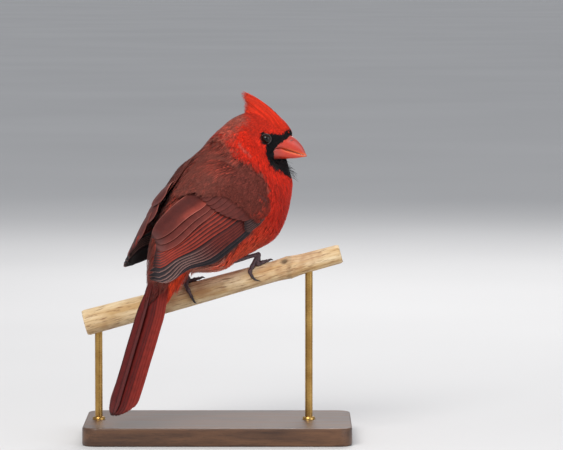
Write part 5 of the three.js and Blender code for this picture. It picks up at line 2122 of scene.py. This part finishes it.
@dataclass(frozen=True)
class Stand:
    """The display stand: a flat wooden base and two brass rods.

    Faces of flat_area and more, in square metres, are shaded flat.
    """

    length: float = 176
    width: float = 104
    thickness: float = 12
    corner: float = 10
    edge: float = 1.2
    rod_radius: float = 2.5
    rods: tuple[float, float] = (-79, 60)
    socket: float = 5
    collar: float = 1.7
    countersink: float = 0.4
    flat_area: float = 4e-5

    def build(self, wood: Material, brass: Material) -> None:
        """Makes the base and the rods."""
        bm = bmesh.new()
        bmesh.ops.create_cube(bm, size=1.0)
        size = Vector((self.length, self.width, self.thickness)) * MM
        for vert in bm.verts:
            vert.co = (vert.co + Vector((0, 0, 0.5))) * size
        self.rounded(bm, [edge for edge in bm.edges if self.drop(edge) > MM], self.corner, 10)
        rims = []
        for edge in bm.edges:
            normals = [face.normal.z for face in edge.link_faces]
            if self.drop(edge) < 1e-6 and edge.is_manifold and abs(normals[0] - normals[1]) > 0.5:
                rims.append(edge)
        self.rounded(bm, rims, self.edge, 4)
        base = from_bmesh("stand_base_wood", bm, wood)
        for polygon in base.data.polygons:
            polygon.use_smooth = polygon.area < self.flat_area
        register(base, "base", "stand_base")
        for x, name in zip(self.rods, ("left", "right")):
            self.rod(x, name, brass)

    @staticmethod
    def drop(edge: bmesh.types.BMEdge) -> float:
        """How much lower one end of an edge is than the other."""
        return abs(edge.verts[0].co.z - edge.verts[1].co.z)

    @staticmethod
    def rounded(bm: BMesh, edges: list[bmesh.types.BMEdge], radius: float, segments: int) -> None:
        """Rounds some edges off."""
        bmesh.ops.bevel(
            bm, geom=edges, offset=radius * MM, segments=segments, profile=0.5, affect="EDGES", material=-1
        )

    def rod(self, x: float, name: str, brass: Material) -> None:
        """One rod from its socket in the base up into the stem, with a collar at its foot."""
        stem = STEM.axis(x) - STEM.girth(x) / math.cos(math.radians(STEM.slope))
        low, high = self.thickness - self.socket, stem + self.socket
        foot, sunk = self.thickness, self.thickness - self.countersink
        radius, wide = self.rod_radius, self.rod_radius + self.collar
        profile = (
            (0.0, low), (radius, low), (radius, sunk), (wide, sunk), (wide, foot + 1.2),
            (wide - 0.5, foot + 1.8), (radius, foot + 2.0), (radius, high), (0.0, high),
        )
        bm = bmesh.new()
        verts = [bm.verts.new(Vector((x + r, 0, z)) * MM) for r, z in profile]
        edges = [bm.edges.new(pair) for pair in zip(verts, verts[1:])]
        bmesh.ops.spin(
            bm, geom=verts + edges, cent=Vector((x, 0, 0)) * MM, axis=(0, 0, 1), angle=TURN, steps=48,
            use_merge=True,
        )
        bmesh.ops.remove_doubles(bm, verts=bm.verts, dist=1e-6)
        piece = from_bmesh(f"stand_rod_{name}_brass", bm, brass)
        piece.data.set_sharp_from_angle(angle=math.radians(40))
        register(piece, "rod", f"stand_rod_{name}")


@dataclass(frozen=True)
class Lamp:
    """A square soft light: its place and size in metres, its power in watts and its colour."""

    name: str
    place: tuple[float, float, float]
    size: float
    power: float
    colour: Rgb


@dataclass(frozen=True)
class Studio:
    """A plain pale floor, soft lights and the camera."""

    target: tuple[float, float, float] = (41.9, 0.0, 140.9)
    elevation: float = 4.0
    distance: float = 2600.0
    frame_width: float = 371.6
    sensor: float = 36.0
    sky: Rgb = (0.86, 0.88, 0.92)
    sky_strength: float = 0.53
    floor_radius: float = 60.0
    floor_tones: tuple[Rgb, Rgb] = ((0.66, 0.66, 0.665), (0.7, 0.7, 0.705))
    lamps: tuple[Lamp, ...] = (
        Lamp("key", (-0.55, -1.5, 1.5), 1.1, 33.0, (1.0, 0.97, 0.93)),
        Lamp("fill", (1.6, -1.1, 0.7), 1.4, 11.0, (0.92, 0.95, 1.0)),
        Lamp("rim", (0.3, 1.4, 1.3), 0.9, 16.0, (1.0, 0.98, 0.96)),
    )
    lit: tuple[float, float, float] = (0.0, 0.0, 0.14)

    def build(self) -> None:
        """Makes the floor, the lights and the camera."""
        scene = bpy.context.scene
        scene.view_settings.view_transform = "Standard"
        self.floor()
        scene.world = bpy.data.worlds.new("studio")
        scene.world.use_nodes = True
        sockets = scene.world.node_tree.nodes["Background"].inputs
        sockets["Color"].default_value = (*self.sky, 1)
        sockets["Strength"].default_value = self.sky_strength
        for lamp in self.lamps:
            self.light(lamp)
        self.camera()

    def floor(self) -> None:
        """A wide pale floor."""
        n = Nodes("floor_paper")
        n.set(Roughness=0.85, Specular_IOR_Level=0.2)
        shade = n.spread(n.noise(1.5, 2.0), 0.0, 1.0)
        n.colour(n.blend(shade, *self.floor_tones))
        bm = bmesh.new()
        bmesh.ops.create_circle(bm, cap_ends=True, radius=self.floor_radius, segments=96)
        from_bmesh("floor", bm, n.material)

    def light(self, lamp: Lamp) -> None:
        """Makes one light, turned to the bird."""
        data = bpy.data.lights.new(lamp.name, "AREA")
        data.energy, data.size, data.color = lamp.power, lamp.size, lamp.colour
        light = in_scene(lamp.name, data)
        light.location = lamp.place
        aim = Vector(self.lit) - Vector(lamp.place)
        light.rotation_euler = aim.to_track_quat("-Z", "Y").to_euler()

    def camera(self) -> None:
        """The camera, far off and a little above, so that its lines are nearly parallel."""
        data = bpy.data.cameras.new("camera")
        data.sensor_width = self.sensor
        data.lens = self.sensor * self.distance / self.frame_width
        data.clip_start, data.clip_end = 0.05, 200.0
        camera = in_scene("camera", data)
        tilt = math.radians(self.elevation)
        back = Vector((0, -math.cos(tilt), math.sin(tilt))) * self.distance
        camera.location = (Vector(self.target) + back) * MM
        camera.rotation_euler = (math.radians(90) - tilt, 0, 0)
        bpy.context.scene.camera = camera


def main() -> None:
    """Builds every part of the model in order."""
    logging.basicConfig(level=logging.INFO, format="%(name)s %(message)s")
    Studio().build()
    plumage = FeatherFinish().material()
    firm = VaneFinish().material()
    horn = HornFinish().material()
    legs = ScaleFinish("leg_scales", (58, 42, 48), (104, 80, 84)).material()
    claws = ScaleFinish("claw_horn", (36, 28, 32), (62, 50, 54), 300.0, 0.3).material()
    lids = ScaleFinish("lid_skin", (52, 46, 48), (104, 98, 98)).material()
    BodyCoat().build(plumage)
    wet = EyeFinish().material()
    for side in Side:
        EYE.build(side, wet, lids)
    Crest().build(plumage)
    Bill().build(horn)
    Bristles().build(plumage)
    for side in Side:
        Wing(side).build(firm, plumage)
    Tail().build(firm, plumage)
    STEM.build(StemFinish(STEM.slope).material())
    for plan in FEET:
        Foot(plan).build(legs, claws)
    Stand().build(WoodFinish().material(), BrassFinish().material())


if __name__ == "__main__":
    main()
